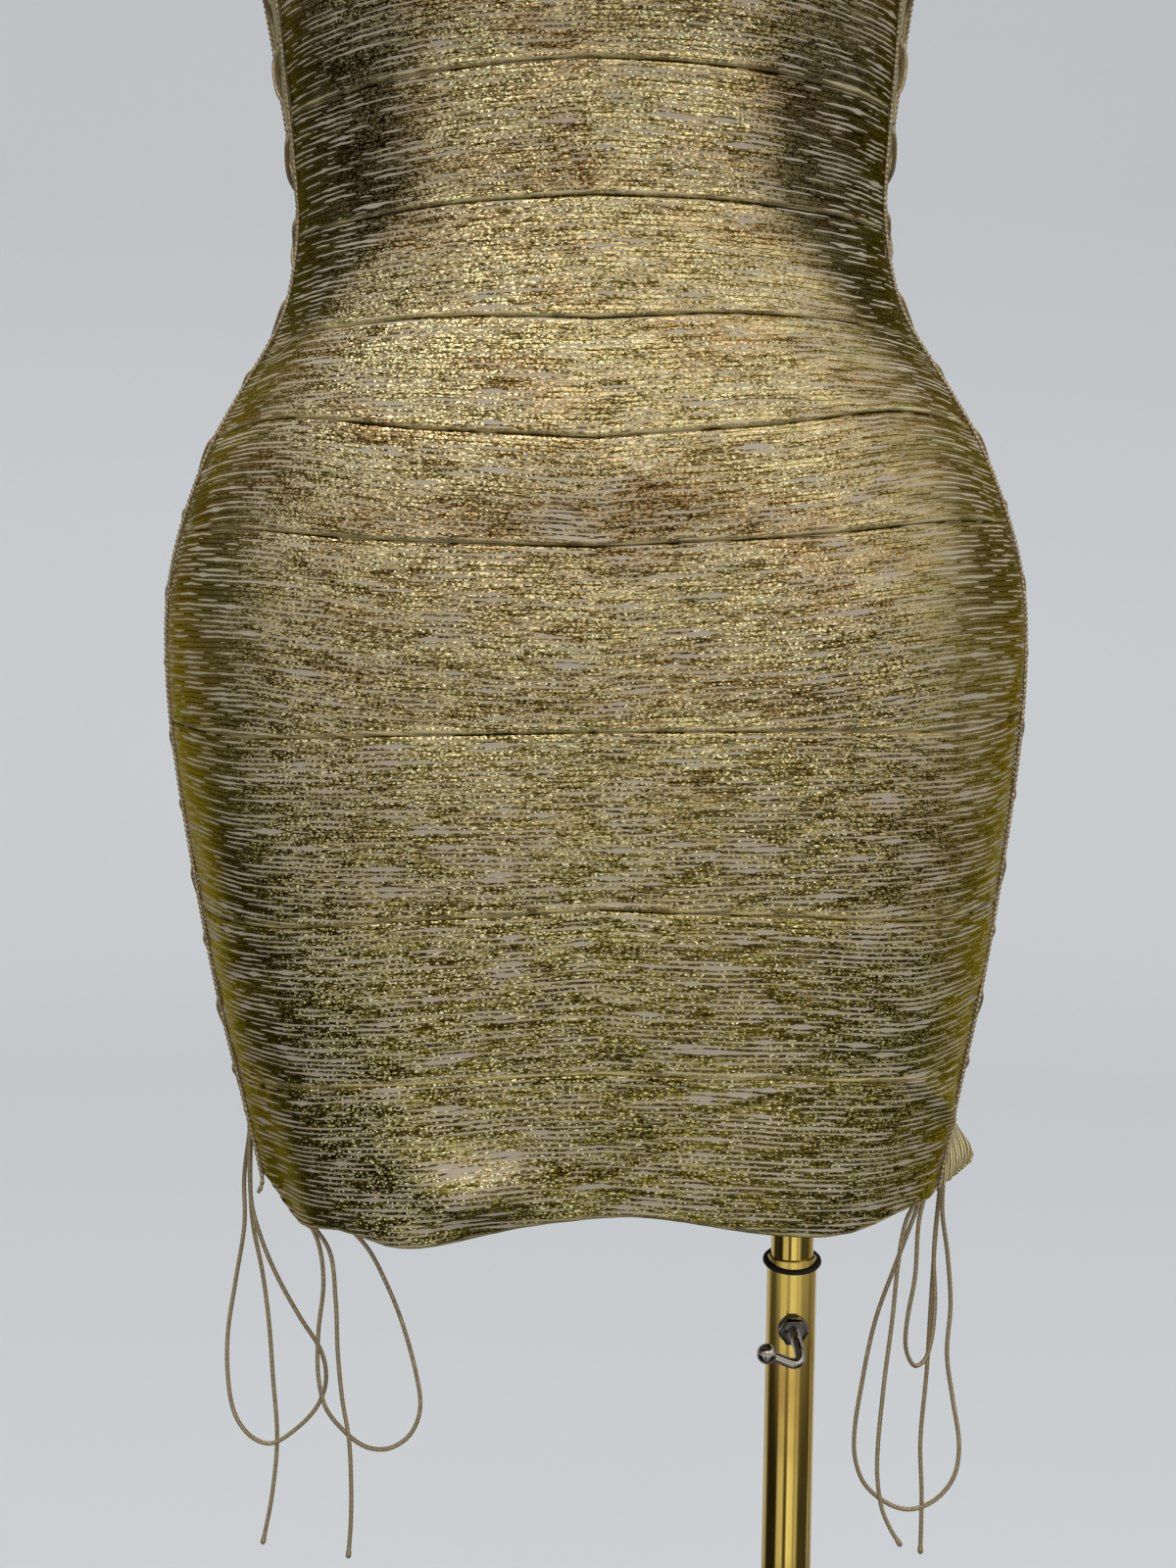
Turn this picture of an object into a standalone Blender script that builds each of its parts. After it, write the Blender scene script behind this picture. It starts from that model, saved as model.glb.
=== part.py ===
"""A bandage-knit bodycon mini dress, laced down both sides, on a limbless dress form.

Metres, +Z up. The origin is the middle of the base's underside, and the front faces -Y.
The dress is sewn from knitted bands, one above the other, as a front and a back panel. A tape with
a row of eyelets runs down each panel's side edges, a braid covers each join, and one lace a side
zigzags between the tapes and is tied in a bow at the hem. The form stands on a telescoping pole,
which a screw with a ball lever clamps at its height.
"""
from collections import namedtuple
from math import cos, exp, pi, radians, sin

import bmesh
import bpy
from mathutils import Matrix, Vector

# ---- the dress -------------------------------------------------------------------------------
WAIST_HEIGHT = 1.100        # the waist above the floor
LEAN = 0.025                # the figure's slope toward -X as it rises, metres per metre
CLOTH = 0.0016              # thickness of the knitted bands and the tapes
SEAM_GAP = 0.0003           # between pieces that are sewn together
SQUARENESS = 2.2            # 2 is a true oval section, more is squarer
BAND_COLUMNS = 14           # facets across one panel
BRAID_WIDTH = 0.0030
BRAID_THICK = 0.0013
TAPE_WIDTH = 0.0120
LACE_GAP = 0.0100           # between the free edges of the two tapes of a side
ROWS_PER_METRE = 40         # facet rows up a band
TAIL_CURL = 0.0130          # how far the right front tape's lower end turns out
TAIL_LENGTH = 0.0260

# ---- the laces -------------------------------------------------------------------------------
LACE = 0.0020               # diameter
EYELET_LEVELS = 20
EYELET_INSET = 0.0060       # from the tape's free edge to the eyelets' centres
LACE_REST = 0.0012          # from the tape to the underside of the lace, over an eyelet's rim
LACE_FREE_STEP = 0.0130     # spacing of the facet rings along a hanging lace
KNOT_SIZE = Vector((0.0036, 0.0046, 0.0030))    # half its size each way
KNOT_BEHIND = 0.0120        # from the back braid to the knot
KNOT_OUT = 0.0052           # from the cloth to the knot's middle
TIP_SWELL = 1.35            # a melted tip, over the lace's own size

# ---- the form --------------------------------------------------------------------------------
FORM_CLEAR = 0.0030         # between the cloth's inner face and the form
FORM_BOTTOM = -0.3350       # the form's flat underside, from the waist
FORM_COLUMNS = 28
FORM_ROW = 0.0320           # height of one row of facets

# ---- the stand -------------------------------------------------------------------------------
POLE_X = 0.0913
POLE_Y = 0.0200
BASE_RADIUS = 0.1700
BASE_THICK = 0.0120
SOCKET_RADIUS = 0.0170
SOCKET_HEIGHT = 0.0450
OUTER_RADIUS = 0.0105
OUTER_BORE = 0.0095
OUTER_TOP = 0.6735
INNER_RADIUS = 0.0090
INNER_BORE = 0.0078
INNER_BOTTOM = 0.4200
FLANGE_RADIUS = 0.0320
FLANGE_THICK = 0.0040
COLLAR_RADIUS = 0.0130
COLLAR_HEIGHT = 0.0260
RING_RADIUS = 0.0012        # of the rubber ring's own section
RING_HEIGHT = 0.6718
RING_TILT = 0.23            # how much the ring dips toward the front, metres per metre
CLAMP_HEIGHT = 0.6450
NUT_FLATS = 0.0110
NUT_THICK = 0.0065
SCREW_RADIUS = 0.0026
BALL_RADIUS = 0.0043
TUBE_SIDES = 24

# Sections of the dressed figure, by height from the waist: half the width, the depth in front of
# and behind the middle, and where the front panel's side edge lies, in degrees round from the front.
Section = namedtuple("Section", "height half_width front back edge")
FIGURE = [
    Section(-0.4100, 0.1350, 0.0975, 0.0975, 75.5),
    Section(-0.3886, 0.1390, 0.1000, 0.1005, 76.0),
    Section(-0.3475, 0.1474, 0.1020, 0.1065, 76.5),
    Section(-0.3064, 0.1562, 0.1040, 0.1130, 77.5),
    Section(-0.2496, 0.1656, 0.1060, 0.1210, 79.0),
    Section(-0.2010, 0.1719, 0.1070, 0.1265, 80.5),
    Section(-0.1687, 0.1735, 0.1070, 0.1275, 81.5),
    Section(-0.1447, 0.1722, 0.1065, 0.1250, 81.0),
    Section(-0.1208, 0.1670, 0.1045, 0.1190, 79.5),
    Section(-0.0890, 0.1552, 0.1000, 0.1090, 78.0),
    Section(-0.0654, 0.1417, 0.0950, 0.0990, 77.0),
    Section(-0.0418, 0.1274, 0.0900, 0.0895, 76.0),
    Section(-0.0260, 0.1216, 0.0875, 0.0850, 75.5),
    Section(-0.0024, 0.1184, 0.0855, 0.0820, 74.5),
    Section(0.0132, 0.1190, 0.0860, 0.0830, 73.0),
    Section(0.0520, 0.1234, 0.0900, 0.0880, 70.5),
    Section(0.0909, 0.1288, 0.0965, 0.0950, 67.5),
    Section(0.1300, 0.1375, 0.1030, 0.1000, 67.5),
    Section(0.1650, 0.1450, 0.1055, 0.1030, 68.5),
    Section(0.2050, 0.1505, 0.1040, 0.1035, 70.5),
    Section(0.2450, 0.1570, 0.0985, 0.1010, 72.5),
    Section(0.2800, 0.1650, 0.0905, 0.0970, 73.5),
    Section(0.3020, 0.1680, 0.0820, 0.0900, 73.5),
    Section(0.3170, 0.1640, 0.0745, 0.0830, 73.5),
    Section(0.3300, 0.1500, 0.0680, 0.0755, 73.5),
    Section(0.3420, 0.1260, 0.0625, 0.0680, 73.5),
    Section(0.3530, 0.0990, 0.0585, 0.0620, 73.5),
    Section(0.3650, 0.0755, 0.0555, 0.0580, 73.5),
    Section(0.3800, 0.0620, 0.0535, 0.0550, 73.5),
    Section(0.4050, 0.0565, 0.0525, 0.0530, 73.5),
    Section(0.4400, 0.0555, 0.0520, 0.0525, 73.5),
]

# The bust, as one soft swelling a side: its place, its spread each way and how far it stands out.
Swelling = namedtuple("Swelling", "across height spread_across spread_up depth")
BUST = Swelling(across=0.072, height=0.152, spread_across=0.052, spread_up=0.046, depth=0.019)

# Seams between the bands, as heights from the waist at five places round each panel: the middle
# (0 degrees), 25, 50 and 75 degrees round, and the middle of the back panel.
Seam = namedtuple("Seam", "name middle quarter half side back")
SEAMS = [
    Seam("top_edge", 0.2360, 0.2370, 0.2310, 0.2180, 0.1980),
    Seam("over_bust", 0.1920, 0.1920, 0.1860, 0.1740, 0.1700),
    Seam("bust", 0.1440, 0.1430, 0.1370, 0.1290, 0.1330),
    Seam("under_bust", 0.0960, 0.0935, 0.0885, 0.0855, 0.0940),
    Seam("midriff", 0.0502, 0.0474, 0.0428, 0.0405, 0.0490),
    Seam("waist", 0.0010, -0.0009, -0.0042, -0.0055, 0.0010),
    Seam("high_hip", -0.0448, -0.0430, -0.0450, -0.0500, -0.0440),
    Seam("belly", -0.0895, -0.0847, -0.0785, -0.0830, -0.0860),
    Seam("hip", -0.1296, -0.1265, -0.1210, -0.1205, -0.1230),
    Seam("full_hip", -0.1978, -0.1988, -0.2005, -0.1965, -0.1950),
    Seam("thigh", -0.2640, -0.2685, -0.2740, -0.2720, -0.2660),
    Seam("low_thigh", -0.3265, -0.3305, -0.3370, -0.3380, -0.3290),
    Seam("hem", -0.3870, -0.3870, -0.3870, -0.3870, -0.3880),
]
SEAM_ANGLES = (0.0, 25.0, 50.0, 75.0)

# The hem's rise and dip, and the soft folds that stand out or sink in above it. Angles and widths
# are in degrees, and a fold's reach is the height over which it dies away.
HemWave = namedtuple("HemWave", "angle width drop")
HEM_WAVES = [
    HemWave(angle=4.0, width=16.0, drop=-0.0045),
    HemWave(angle=-34.0, width=17.0, drop=0.0070),
    HemWave(angle=-60.0, width=11.0, drop=0.0085),
    HemWave(angle=-76.0, width=8.0, drop=-0.0070),
    HemWave(angle=40.0, width=20.0, drop=0.0065),
    HemWave(angle=72.0, width=12.0, drop=0.0040),
    HemWave(angle=150.0, width=16.0, drop=0.0050),
    HemWave(angle=-156.0, width=18.0, drop=-0.0040),
]
Fold = namedtuple("Fold", "angle width reach depth")
FOLDS = [
    Fold(angle=-30.0, width=9.0, reach=0.050, depth=0.0065),
    Fold(angle=-13.0, width=9.0, reach=0.060, depth=-0.0045),
    Fold(angle=3.0, width=11.0, reach=0.040, depth=-0.0040),
    Fold(angle=33.0, width=15.0, reach=0.045, depth=0.0035),
    Fold(angle=-64.0, width=9.0, reach=0.040, depth=-0.0030),
    Fold(angle=148.0, width=14.0, reach=0.050, depth=0.0055),
    Fold(angle=172.0, width=12.0, reach=0.045, depth=-0.0045),
    Fold(angle=-150.0, width=15.0, reach=0.050, depth=0.0045),
]

# The bows. Each strand leaves the underside of its knot at a place given across (outward) and along
# (toward the back), then hangs by way of points in millimetres chosen by hand. A loop comes back.
INNER, OUTER = -0.0013, 0.0013
FORE, MIDDLE, AFT = -0.0027, 0.0, 0.0027
ROUTES = {
    "left_loop_a": (-1, [(OUTER, MIDDLE), (OUTER, FORE)], [
        (-143, 30, 702), (-143, 31, 681), (-147, 32, 655), (-150, 32, 634), (-150, 31, 616),
        (-147, 30, 599), (-140, 29, 589), (-131, 28, 586), (-121, 27, 592), (-111, 26, 603),
        (-107, 25, 615), (-109, 24, 628), (-118, 23, 643), (-127, 23, 659), (-134, 23, 675),
        (-139, 23, 693)]),
    "left_end_a": (-1, [(OUTER, AFT)], [
        (-141, 35, 697), (-140, 36, 680), (-136, 36, 660), (-133, 36, 638), (-131, 36, 612),
        (-129, 35, 586), (-131, 34, 561), (-135, 34, 539)]),
    "left_loop_b": (-1, [(INNER, MIDDLE), (INNER, AFT)], [
        (-137, 21, 720), (-133, 20, 710), (-127, 18, 702), (-119, 16, 693), (-110, 13, 680), (-107, 12, 662), (-109, 12, 640),
        (-109, 12, 622), (-106, 12, 608), (-99, 13, 598), (-89, 14, 590), (-79, 15, 589),
        (-70, 16, 595), (-66, 17, 606), (-68, 18, 621), (-74, 19, 642), (-81, 20, 659),
        (-90, 21, 675), (-104, 22, 688), (-121, 24, 698), (-129, 25, 704),
        (-134, 26, 711), (-137, 26, 720)]),
    "left_end_b": (-1, [(INNER, FORE)], [
        (-136, 17, 720), (-132, 14, 710), (-126, 12, 702), (-115, 8, 691), (-104, 5, 677), (-101, 4, 656), (-100, 4, 634),
        (-98, 4, 614), (-95, 4, 596), (-94, 4, 578), (-94, 4, 561), (-95, 4, 545)]),
    "right_end_a": (1, [(INNER, FORE)], [
        (144, 12, 703), (138, 9, 692), (135, 8, 675), (133, 8, 650), (130, 8, 621),
        (128, 8, 588), (130, 8, 570), (134, 8, 560), (139, 8, 552)]),
    "right_loop_big": (1, [(INNER, MIDDLE), (OUTER, FORE)], [
        (146, 18, 702), (141, 16, 689), (135, 16, 672), (127, 16, 648), (122, 16, 622),
        (119, 17, 593), (123, 18, 577), (133, 20, 567), (144, 22, 563), (155, 23, 567),
        (163, 24, 577), (165, 25, 591), (162, 26, 610), (159, 26, 630), (160, 26, 652),
        (158, 25, 674), (155, 23, 694)]),
    "right_loop_small": (1, [(INNER, AFT), (OUTER, MIDDLE)], [
        (148, 23, 702), (145, 22, 688), (144, 22, 665), (141, 22, 645), (141, 23, 633),
        (145, 25, 625), (150, 28, 627), (153, 30, 637), (154, 31, 652), (153, 31, 672),
        (154, 30, 692)]),
    "right_end_b": (1, [(OUTER, AFT)], [
        (155, 34, 696), (154, 36, 675), (153, 37, 647), (152, 37, 619), (150, 37, 588),
        (151, 36, 564), (151, 36, 538)]),
}

# Plain finishes: colour, metallic, roughness.
Finish = namedtuple("Finish", "name colour metallic roughness")
FOIL = Finish("gold_foil_knit", (0.36, 0.29, 0.10), 0.85, 0.38)
TRIM = Finish("gold_braid", (0.45, 0.35, 0.18), 0.6, 0.5)
TAPE = Finish("eyelet_tape", (0.30, 0.24, 0.13), 0.3, 0.6)
CORD = Finish("satin_cord", (0.25, 0.19, 0.10), 0.2, 0.5)
SHELL = Finish("painted_form", (0.80, 0.77, 0.71), 0.0, 0.6)
BRASS = Finish("polished_brass", (0.83, 0.62, 0.27), 1.0, 0.15)
STEEL = Finish("plated_steel", (0.55, 0.53, 0.50), 1.0, 0.25)
RUBBER = Finish("black_rubber", (0.02, 0.02, 0.02), 0.0, 0.7)
PAINT = Finish("painted_base", (0.10, 0.10, 0.10), 0.0, 0.4)


# ---- smooth values from the tables -------------------------------------------------------------
def smooth_value(places, values, at):
    """Value at a place, on a smooth curve through the values given at rising places."""
    if at <= places[0]:
        return values[0]
    if at >= places[-1]:
        return values[-1]
    i = max(k for k in range(len(places) - 1) if places[k] <= at)

    def slope(k):
        low, high = max(k - 1, 0), min(k + 1, len(places) - 1)
        return (values[high] - values[low]) / (places[high] - places[low])

    span = places[i + 1] - places[i]
    t = (at - places[i]) / span
    start, end = slope(i) * span, slope(i + 1) * span
    return ((2 * t**3 - 3 * t**2 + 1) * values[i] + (t**3 - 2 * t**2 + t) * start
            + (3 * t**2 - 2 * t**3) * values[i + 1] + (t**3 - t**2) * end)


HEIGHTS = [row.height for row in FIGURE]
COLUMNS = {field: [getattr(row, field) for row in FIGURE] for field in Section._fields}


def figure_size(column, height):
    return smooth_value(HEIGHTS, COLUMNS[column], height)


def seam_height(seam, angle):
    """Height of a seam, at an angle in radians round from the front."""
    away = abs(angle) * 180.0 / pi
    places = SEAM_ANGLES + (180.0,)
    return smooth_value(places, (seam.middle, seam.quarter, seam.half, seam.side, seam.back), away)


def hem_drop(angle):
    degrees_round = angle * 180.0 / pi
    return sum(wave.drop * exp(-((degrees_round - wave.angle) / wave.width)**2) for wave in HEM_WAVES)


def level_height(level, angle):
    """Height at a level: 0 is the top edge, and each whole number is the next seam down."""
    index = min(int(level), len(SEAMS) - 2)
    share = level - index
    upper = seam_height(SEAMS[index], angle)
    lower = seam_height(SEAMS[index + 1], angle)
    if index == len(SEAMS) - 2:
        lower -= hem_drop(angle)
    return upper + (lower - upper) * share


# ---- the figure's surface ----------------------------------------------------------------------
def skin(angle, height):
    """Point on the dressed figure before it leans, with the waist's middle as the origin."""
    fullness = (abs(sin(angle))**SQUARENESS + abs(cos(angle))**SQUARENESS)**(-1 / SQUARENESS)
    across = figure_size("half_width", height) * sin(angle) * fullness
    depth = figure_size("front" if cos(angle) > 0 else "back", height) * cos(angle) * fullness
    faces_front = min(max(cos(angle), 0.0) / 0.7, 1.0)
    for side in (-1, 1):
        off_across = (across - side * BUST.across) / BUST.spread_across
        off_up = (height - BUST.height) / BUST.spread_up
        depth += BUST.depth * exp(-off_across**2 - off_up**2) * faces_front**2 * (3 - 2 * faces_front)
    return Vector((across, -depth, height))


def outward(angle, height):
    """Unit vector out of the figure's surface."""
    step = 0.002
    round_it = skin(angle + step, height) - skin(angle - step, height)
    up_it = skin(angle, height + step) - skin(angle, height - step)
    return round_it.cross(up_it).normalized()


def stood_up(point):
    """The leaning figure's point in the whole part's space."""
    return Vector((point.x - LEAN * point.z, point.y, point.z + LEAN * point.x + WAIST_HEIGHT))


def form_point(angle, height, out):
    return stood_up(skin(angle, height) + outward(angle, height) * out)


def dress_point(angle, level, out):
    """Point of the dress at an angle and a level, `out` metres outside the cloth's outer face."""
    angle = (angle + pi) % (2 * pi) - pi
    height = level_height(level, angle)
    above_hem = height + 0.387
    degrees_round = angle * 180.0 / pi
    for fold in FOLDS:
        out += fold.depth * exp(-((degrees_round - fold.angle) / fold.width)**2) \
            * exp(-(max(above_hem, 0.0) / fold.reach)**2)
    return stood_up(skin(angle, height) + outward(angle, height) * out)


def angle_beyond(angle, level, distance):
    """The angle reached by going a distance round the dress from an angle."""
    steps = 6
    probe = 0.002

    def turn_per_metre(at):
        return 2 * probe / (dress_point(at + probe, level, 0) - dress_point(at - probe, level, 0)).length

    for _ in range(steps):
        half_way = angle + distance / steps / 2 * turn_per_metre(angle)
        angle += distance / steps * turn_per_metre(half_way)
    return angle


def side_angle(side, level, distance):
    """Angle at a distance behind the front panel's side edge; side is -1 left, +1 right."""
    edge = radians(figure_size("edge", level_height(level, radians(80))))
    return angle_beyond(side * edge, level, side * distance)


# Distances behind the front panel's edge, at each side of the dress.
FRONT_TAPE = (SEAM_GAP, SEAM_GAP + TAPE_WIDTH)
BACK_TAPE = (FRONT_TAPE[1] + LACE_GAP, FRONT_TAPE[1] + LACE_GAP + TAPE_WIDTH)
BACK_EDGE = BACK_TAPE[1] + SEAM_GAP
FRONT_EYELET = FRONT_TAPE[1] - EYELET_INSET
BACK_EYELET = BACK_TAPE[0] + EYELET_INSET


# ---- making objects ----------------------------------------------------------------------------
def clear_scene():
    for old in list(bpy.data.objects):
        bpy.data.objects.remove(old, do_unlink=True)


def material(finish):
    found = bpy.data.materials.get(finish.name)
    if found:
        return found
    made = bpy.data.materials.new(finish.name)
    made.use_nodes = True
    shader = made.node_tree.nodes["Principled BSDF"]
    shader.inputs["Base Color"].default_value = (*finish.colour, 1.0)
    shader.inputs["Metallic"].default_value = finish.metallic
    shader.inputs["Roughness"].default_value = finish.roughness
    return made


def add_object(name, data, finish, parent=None):
    made = bpy.data.objects.new(name, data)
    bpy.context.scene.collection.objects.link(made)
    made.data.materials.append(material(finish))
    made.parent = parent
    return made


def add_mesh(name, bm, finish, sharp=40.0, parent=None):
    bmesh.ops.recalc_face_normals(bm, faces=bm.faces)
    mesh = bpy.data.meshes.new(name)
    bm.to_mesh(mesh)
    bm.free()
    mesh.shade_smooth()
    mesh.set_sharp_from_angle(angle=radians(sharp))
    return add_object(name, mesh, finish, parent)


def joined_rings(bm, rings, closed_ends=True):
    """Skin a run of rings of vertices, and cap both ends."""
    for ring, following in zip(rings, rings[1:]):
        count = len(ring)
        for k in range(count):
            bm.faces.new((ring[k], ring[(k + 1) % count], following[(k + 1) % count], following[k]))
    if closed_ends:
        bm.faces.new(rings[0])
        bm.faces.new(reversed(rings[-1]))


def pull_in(ring, neighbour, distance):
    """Move a wall's end ring toward its neighbour, along the facets' own edges."""
    return [point + (inside - point).normalized() * distance for point, inside in zip(ring, neighbour)]


def cloth_wall(name, finish, levels, edges, columns, inner, outer, trims=(0.0, 0.0)):
    """Wall of cloth over a run of levels, between two edges given as functions of the level.

    Each level is one ring: along the outer face, then back along the inner face. The trims take a
    little off the top and bottom, for the seams.
    """
    rings = []
    for level in levels:
        start, end = edges[0](level), edges[1](level)
        angles = [start + (end - start) * k / columns for k in range(columns + 1)]
        rings.append([dress_point(angle, level, outer(level)) for angle in angles]
                     + [dress_point(angle, level, inner(level)) for angle in reversed(angles)])
    rings[0] = pull_in(rings[0], rings[1], trims[0])
    rings[-1] = pull_in(rings[-1], rings[-2], trims[1])
    bm = bmesh.new()
    rings = [[bm.verts.new(point) for point in ring] for ring in rings]
    for ring, following in zip(rings, rings[1:]):
        count = len(ring)
        for k in range(count):
            bm.faces.new((ring[k], ring[(k + 1) % count], following[(k + 1) % count], following[k]))
    for ring in (rings[0], rings[-1]):
        for k in range(columns):
            bm.faces.new((ring[k], ring[k + 1], ring[-k - 2], ring[-k - 1]))
    return add_mesh(name, bm, finish)


def turned(name, profile, finish, centre=(0.0, 0.0), sides=TUBE_SIDES, ring=False):
    """Round piece, spun about a vertical axis from (radius, height) corners.

    A ring's profile is a closed loop. Any other profile starts and ends on the axis.
    """
    bm = bmesh.new()
    corners = [bm.verts.new((radius, 0.0, height)) for radius, height in profile]
    edges = [bm.edges.new(pair) for pair in zip(corners, corners[1:])]
    if ring:
        edges.append(bm.edges.new((corners[-1], corners[0])))
    bmesh.ops.spin(bm, geom=corners + edges, axis=(0, 0, 1), cent=(0, 0, 0), angle=2 * pi,
                   steps=sides, use_merge=True)
    bmesh.ops.remove_doubles(bm, verts=bm.verts, dist=1e-6)
    bmesh.ops.transform(bm, matrix=Matrix.Translation((centre[0], centre[1], 0.0)), verts=bm.verts)
    return add_mesh(name, bm, finish)


def smooth_route(points, step):
    """Even points about `step` apart on a smooth curve through the route's own points."""
    travelled = [0.0]
    for before, after in zip(points, points[1:]):
        travelled.append(travelled[-1] + (Vector(after) - Vector(before)).length)
    count = max(2, round(travelled[-1] / step))
    axes = [[point[axis] for point in points] for axis in range(3)]
    return [Vector([smooth_value(travelled, values, travelled[-1] * k / count) for values in axes])
            for k in range(count + 1)]


def cord(name, points, radius, finish, swell=None, parent=None):
    """Round cord or rod through points, as a bevelled curve with filled caps."""
    curve = bpy.data.curves.new(name, "CURVE")
    curve.dimensions = "3D"
    curve.bevel_depth = radius
    curve.bevel_resolution = 2
    curve.use_fill_caps = True
    curve.resolution_u = 1
    curve.render_resolution_u = 0
    spline = curve.splines.new("POLY")
    spline.points.add(len(points) - 1)
    for k, point in enumerate(points):
        spline.points[k].co = (*point, 1.0)
        spline.points[k].radius = swell[k] if swell else 1.0
    return add_object(name, curve, finish, parent)


# ---- the dress's pieces ------------------------------------------------------------------------
LAST_LEVEL = len(SEAMS) - 1
KNOT_LEVELS = {-1: LAST_LEVEL - 0.50, 1: LAST_LEVEL - 0.26}     # of the left bow and the right one


def band_levels(index):
    """Levels of one band's facet rows."""
    depth = SEAMS[index].middle - SEAMS[index + 1].middle
    rows = max(2, round(depth * ROWS_PER_METRE))
    return [index + k / rows for k in range(rows + 1)]


def all_levels():
    """Levels down a whole side edge, on the same rows as the bands."""
    levels = [0.0]
    for index in range(LAST_LEVEL):
        levels += band_levels(index)[1:]
    return levels


def tail_out(level):
    """How far the right front tape's tail is turned out at a level."""
    above = level_height(level, radians(85)) - level_height(LAST_LEVEL, radians(85))
    return TAIL_CURL * max(0.0, 1 - above / TAIL_LENGTH)**2


def tail_levels():
    """The side edge's levels with two more in the tail, so that it bends smoothly."""
    return all_levels()[:-1] + [LAST_LEVEL - 0.2, LAST_LEVEL - 0.1, LAST_LEVEL]


def flat(out):
    return lambda level: out


def build_bands():
    """The front and back panels, a band at a time from the top edge to the hem."""
    for index in range(LAST_LEVEL):
        levels = band_levels(index)
        trims = (SEAM_GAP / 2 if index else 0.0, SEAM_GAP / 2 if index < LAST_LEVEL - 1 else 0.0)
        cloth_wall(f"front_band_{index + 1:02d}", FOIL, levels,
                   (lambda level: side_angle(-1, level, 0), lambda level: side_angle(1, level, 0)),
                   BAND_COLUMNS, flat(-CLOTH), flat(0.0), trims)
        cloth_wall(f"back_band_{index + 1:02d}", FOIL, levels,
                   (lambda level: side_angle(1, level, BACK_EDGE),
                    lambda level: side_angle(-1, level, BACK_EDGE) + 2 * pi),
                   BAND_COLUMNS, flat(-CLOTH), flat(0.0), trims)


def build_side_trims():
    """Each side's two eyelet tapes, and the braids that cover their joins to the panels."""
    for side, word in ((-1, "left"), (1, "right")):
        for panel, span in (("front", FRONT_TAPE), ("back", BACK_TAPE)):
            curls = panel == "front" and side > 0
            levels = tail_levels() if curls else all_levels()
            lift = tail_out if curls else flat(0.0)
            cloth_wall(f"{panel}_tape_{word}", TAPE, levels,
                       (lambda level, s=side, d=span[0]: side_angle(s, level, d),
                        lambda level, s=side, d=span[1]: side_angle(s, level, d)),
                       1, lambda level, up=lift: up(level) - CLOTH, lift)
        for panel, join in (("front", 0.0), ("back", BACK_EDGE)):
            braid_end = LAST_LEVEL - (0.50 if panel == "front" and side > 0 else 0.12)
            cloth_wall(f"{panel}_braid_{word}", TRIM, all_levels()[:-2] + [braid_end],
                       (lambda level, s=side, d=join: side_angle(s, level, d - BRAID_WIDTH / 2),
                        lambda level, s=side, d=join: side_angle(s, level, d + BRAID_WIDTH / 2)),
                       1, flat(SEAM_GAP), flat(SEAM_GAP + BRAID_THICK))


def eyelet_levels():
    """Levels of the eyelets, a little closer together toward the hem."""
    first, last = 0.30, LAST_LEVEL - 0.55
    fine = 200
    travelled = [0.0]
    places = [first + (last - first) * k / fine for k in range(fine + 1)]
    spots = [dress_point(radians(85), level, 0) for level in places]
    for before, after in zip(spots, spots[1:]):
        travelled.append(travelled[-1] + (after - before).length)
    closing = 0.15
    shares = [k / (EYELET_LEVELS - 1) for k in range(EYELET_LEVELS)]
    return [smooth_value(travelled, places, travelled[-1] * (t * (1 + closing) - closing * t * t))
            for t in shares]


def knot_place(side):
    """Middle of the bow's knot, which hangs on the back panel just behind its braid."""
    level = KNOT_LEVELS[side]
    return dress_point(side_angle(side, level, BACK_EDGE + KNOT_BEHIND), level, KNOT_OUT)


def build_lacing():
    """One lace a side: up through alternate eyelets, over the top, and down across itself."""
    levels = eyelet_levels()
    low = LACE_REST + LACE / 2
    high = low + LACE + 2 * SEAM_GAP
    middle = (FRONT_EYELET + BACK_EYELET) / 2
    for side, word in ((-1, "left"), (1, "right")):
        def strand(first, crossing):
            points = []
            for k, level in enumerate(levels):
                across = FRONT_EYELET if k % 2 == first else BACK_EYELET
                if k:
                    between = (levels[k - 1] + level) / 2
                    points.append(dress_point(side_angle(side, between, middle), between, crossing))
                points.append(dress_point(side_angle(side, level, across), level, low))
            return points

        knot = knot_place(side)
        top = KNOT_SIZE.z + 1.5 * SEAM_GAP
        ends = []
        for above, along in ((0.14, -0.0019), (0.21, 0.0019)):
            level = KNOT_LEVELS[side] - above
            over = dress_point(side_angle(side, level, BACK_EDGE + 0.004), level, 0.0048)
            ends.append([over, knot + Vector((0, along, top))])
        down, up = strand(0, low), strand(1, high)
        down_end, up_end = ends if side < 0 else ends[::-1]
        cord(f"lace_{word}", up_end[::-1] + up[::-1] + down + down_end, LACE / 2, CORD)
        bm = bmesh.new()
        bmesh.ops.create_uvsphere(bm, u_segments=12, v_segments=6, radius=1.0)
        bmesh.ops.scale(bm, vec=KNOT_SIZE, verts=bm.verts)
        bmesh.ops.translate(bm, vec=knot, verts=bm.verts)
        add_mesh(f"knot_{word}", bm, CORD)


def build_bows():
    """The loops and ends of each bow, hanging from under its knot."""
    for name, (side, starts, route) in ROUTES.items():
        knot = knot_place(side)
        below = -(KNOT_SIZE.z + SEAM_GAP)
        leaving = [[knot + Vector((side * across, along, below - drop)) for drop in (0, 0.004)]
                   for across, along in starts]
        points = leaving[0] + [Vector(place) / 1000 for place in route]
        if len(leaving) > 1:
            points += leaving[1][::-1]
        points = smooth_route(points, LACE_FREE_STEP)
        swell = [1.0] * len(points)
        if len(leaving) == 1:
            swell[-1] = TIP_SWELL
        cord(name, points, LACE / 2, CORD, swell)


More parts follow.
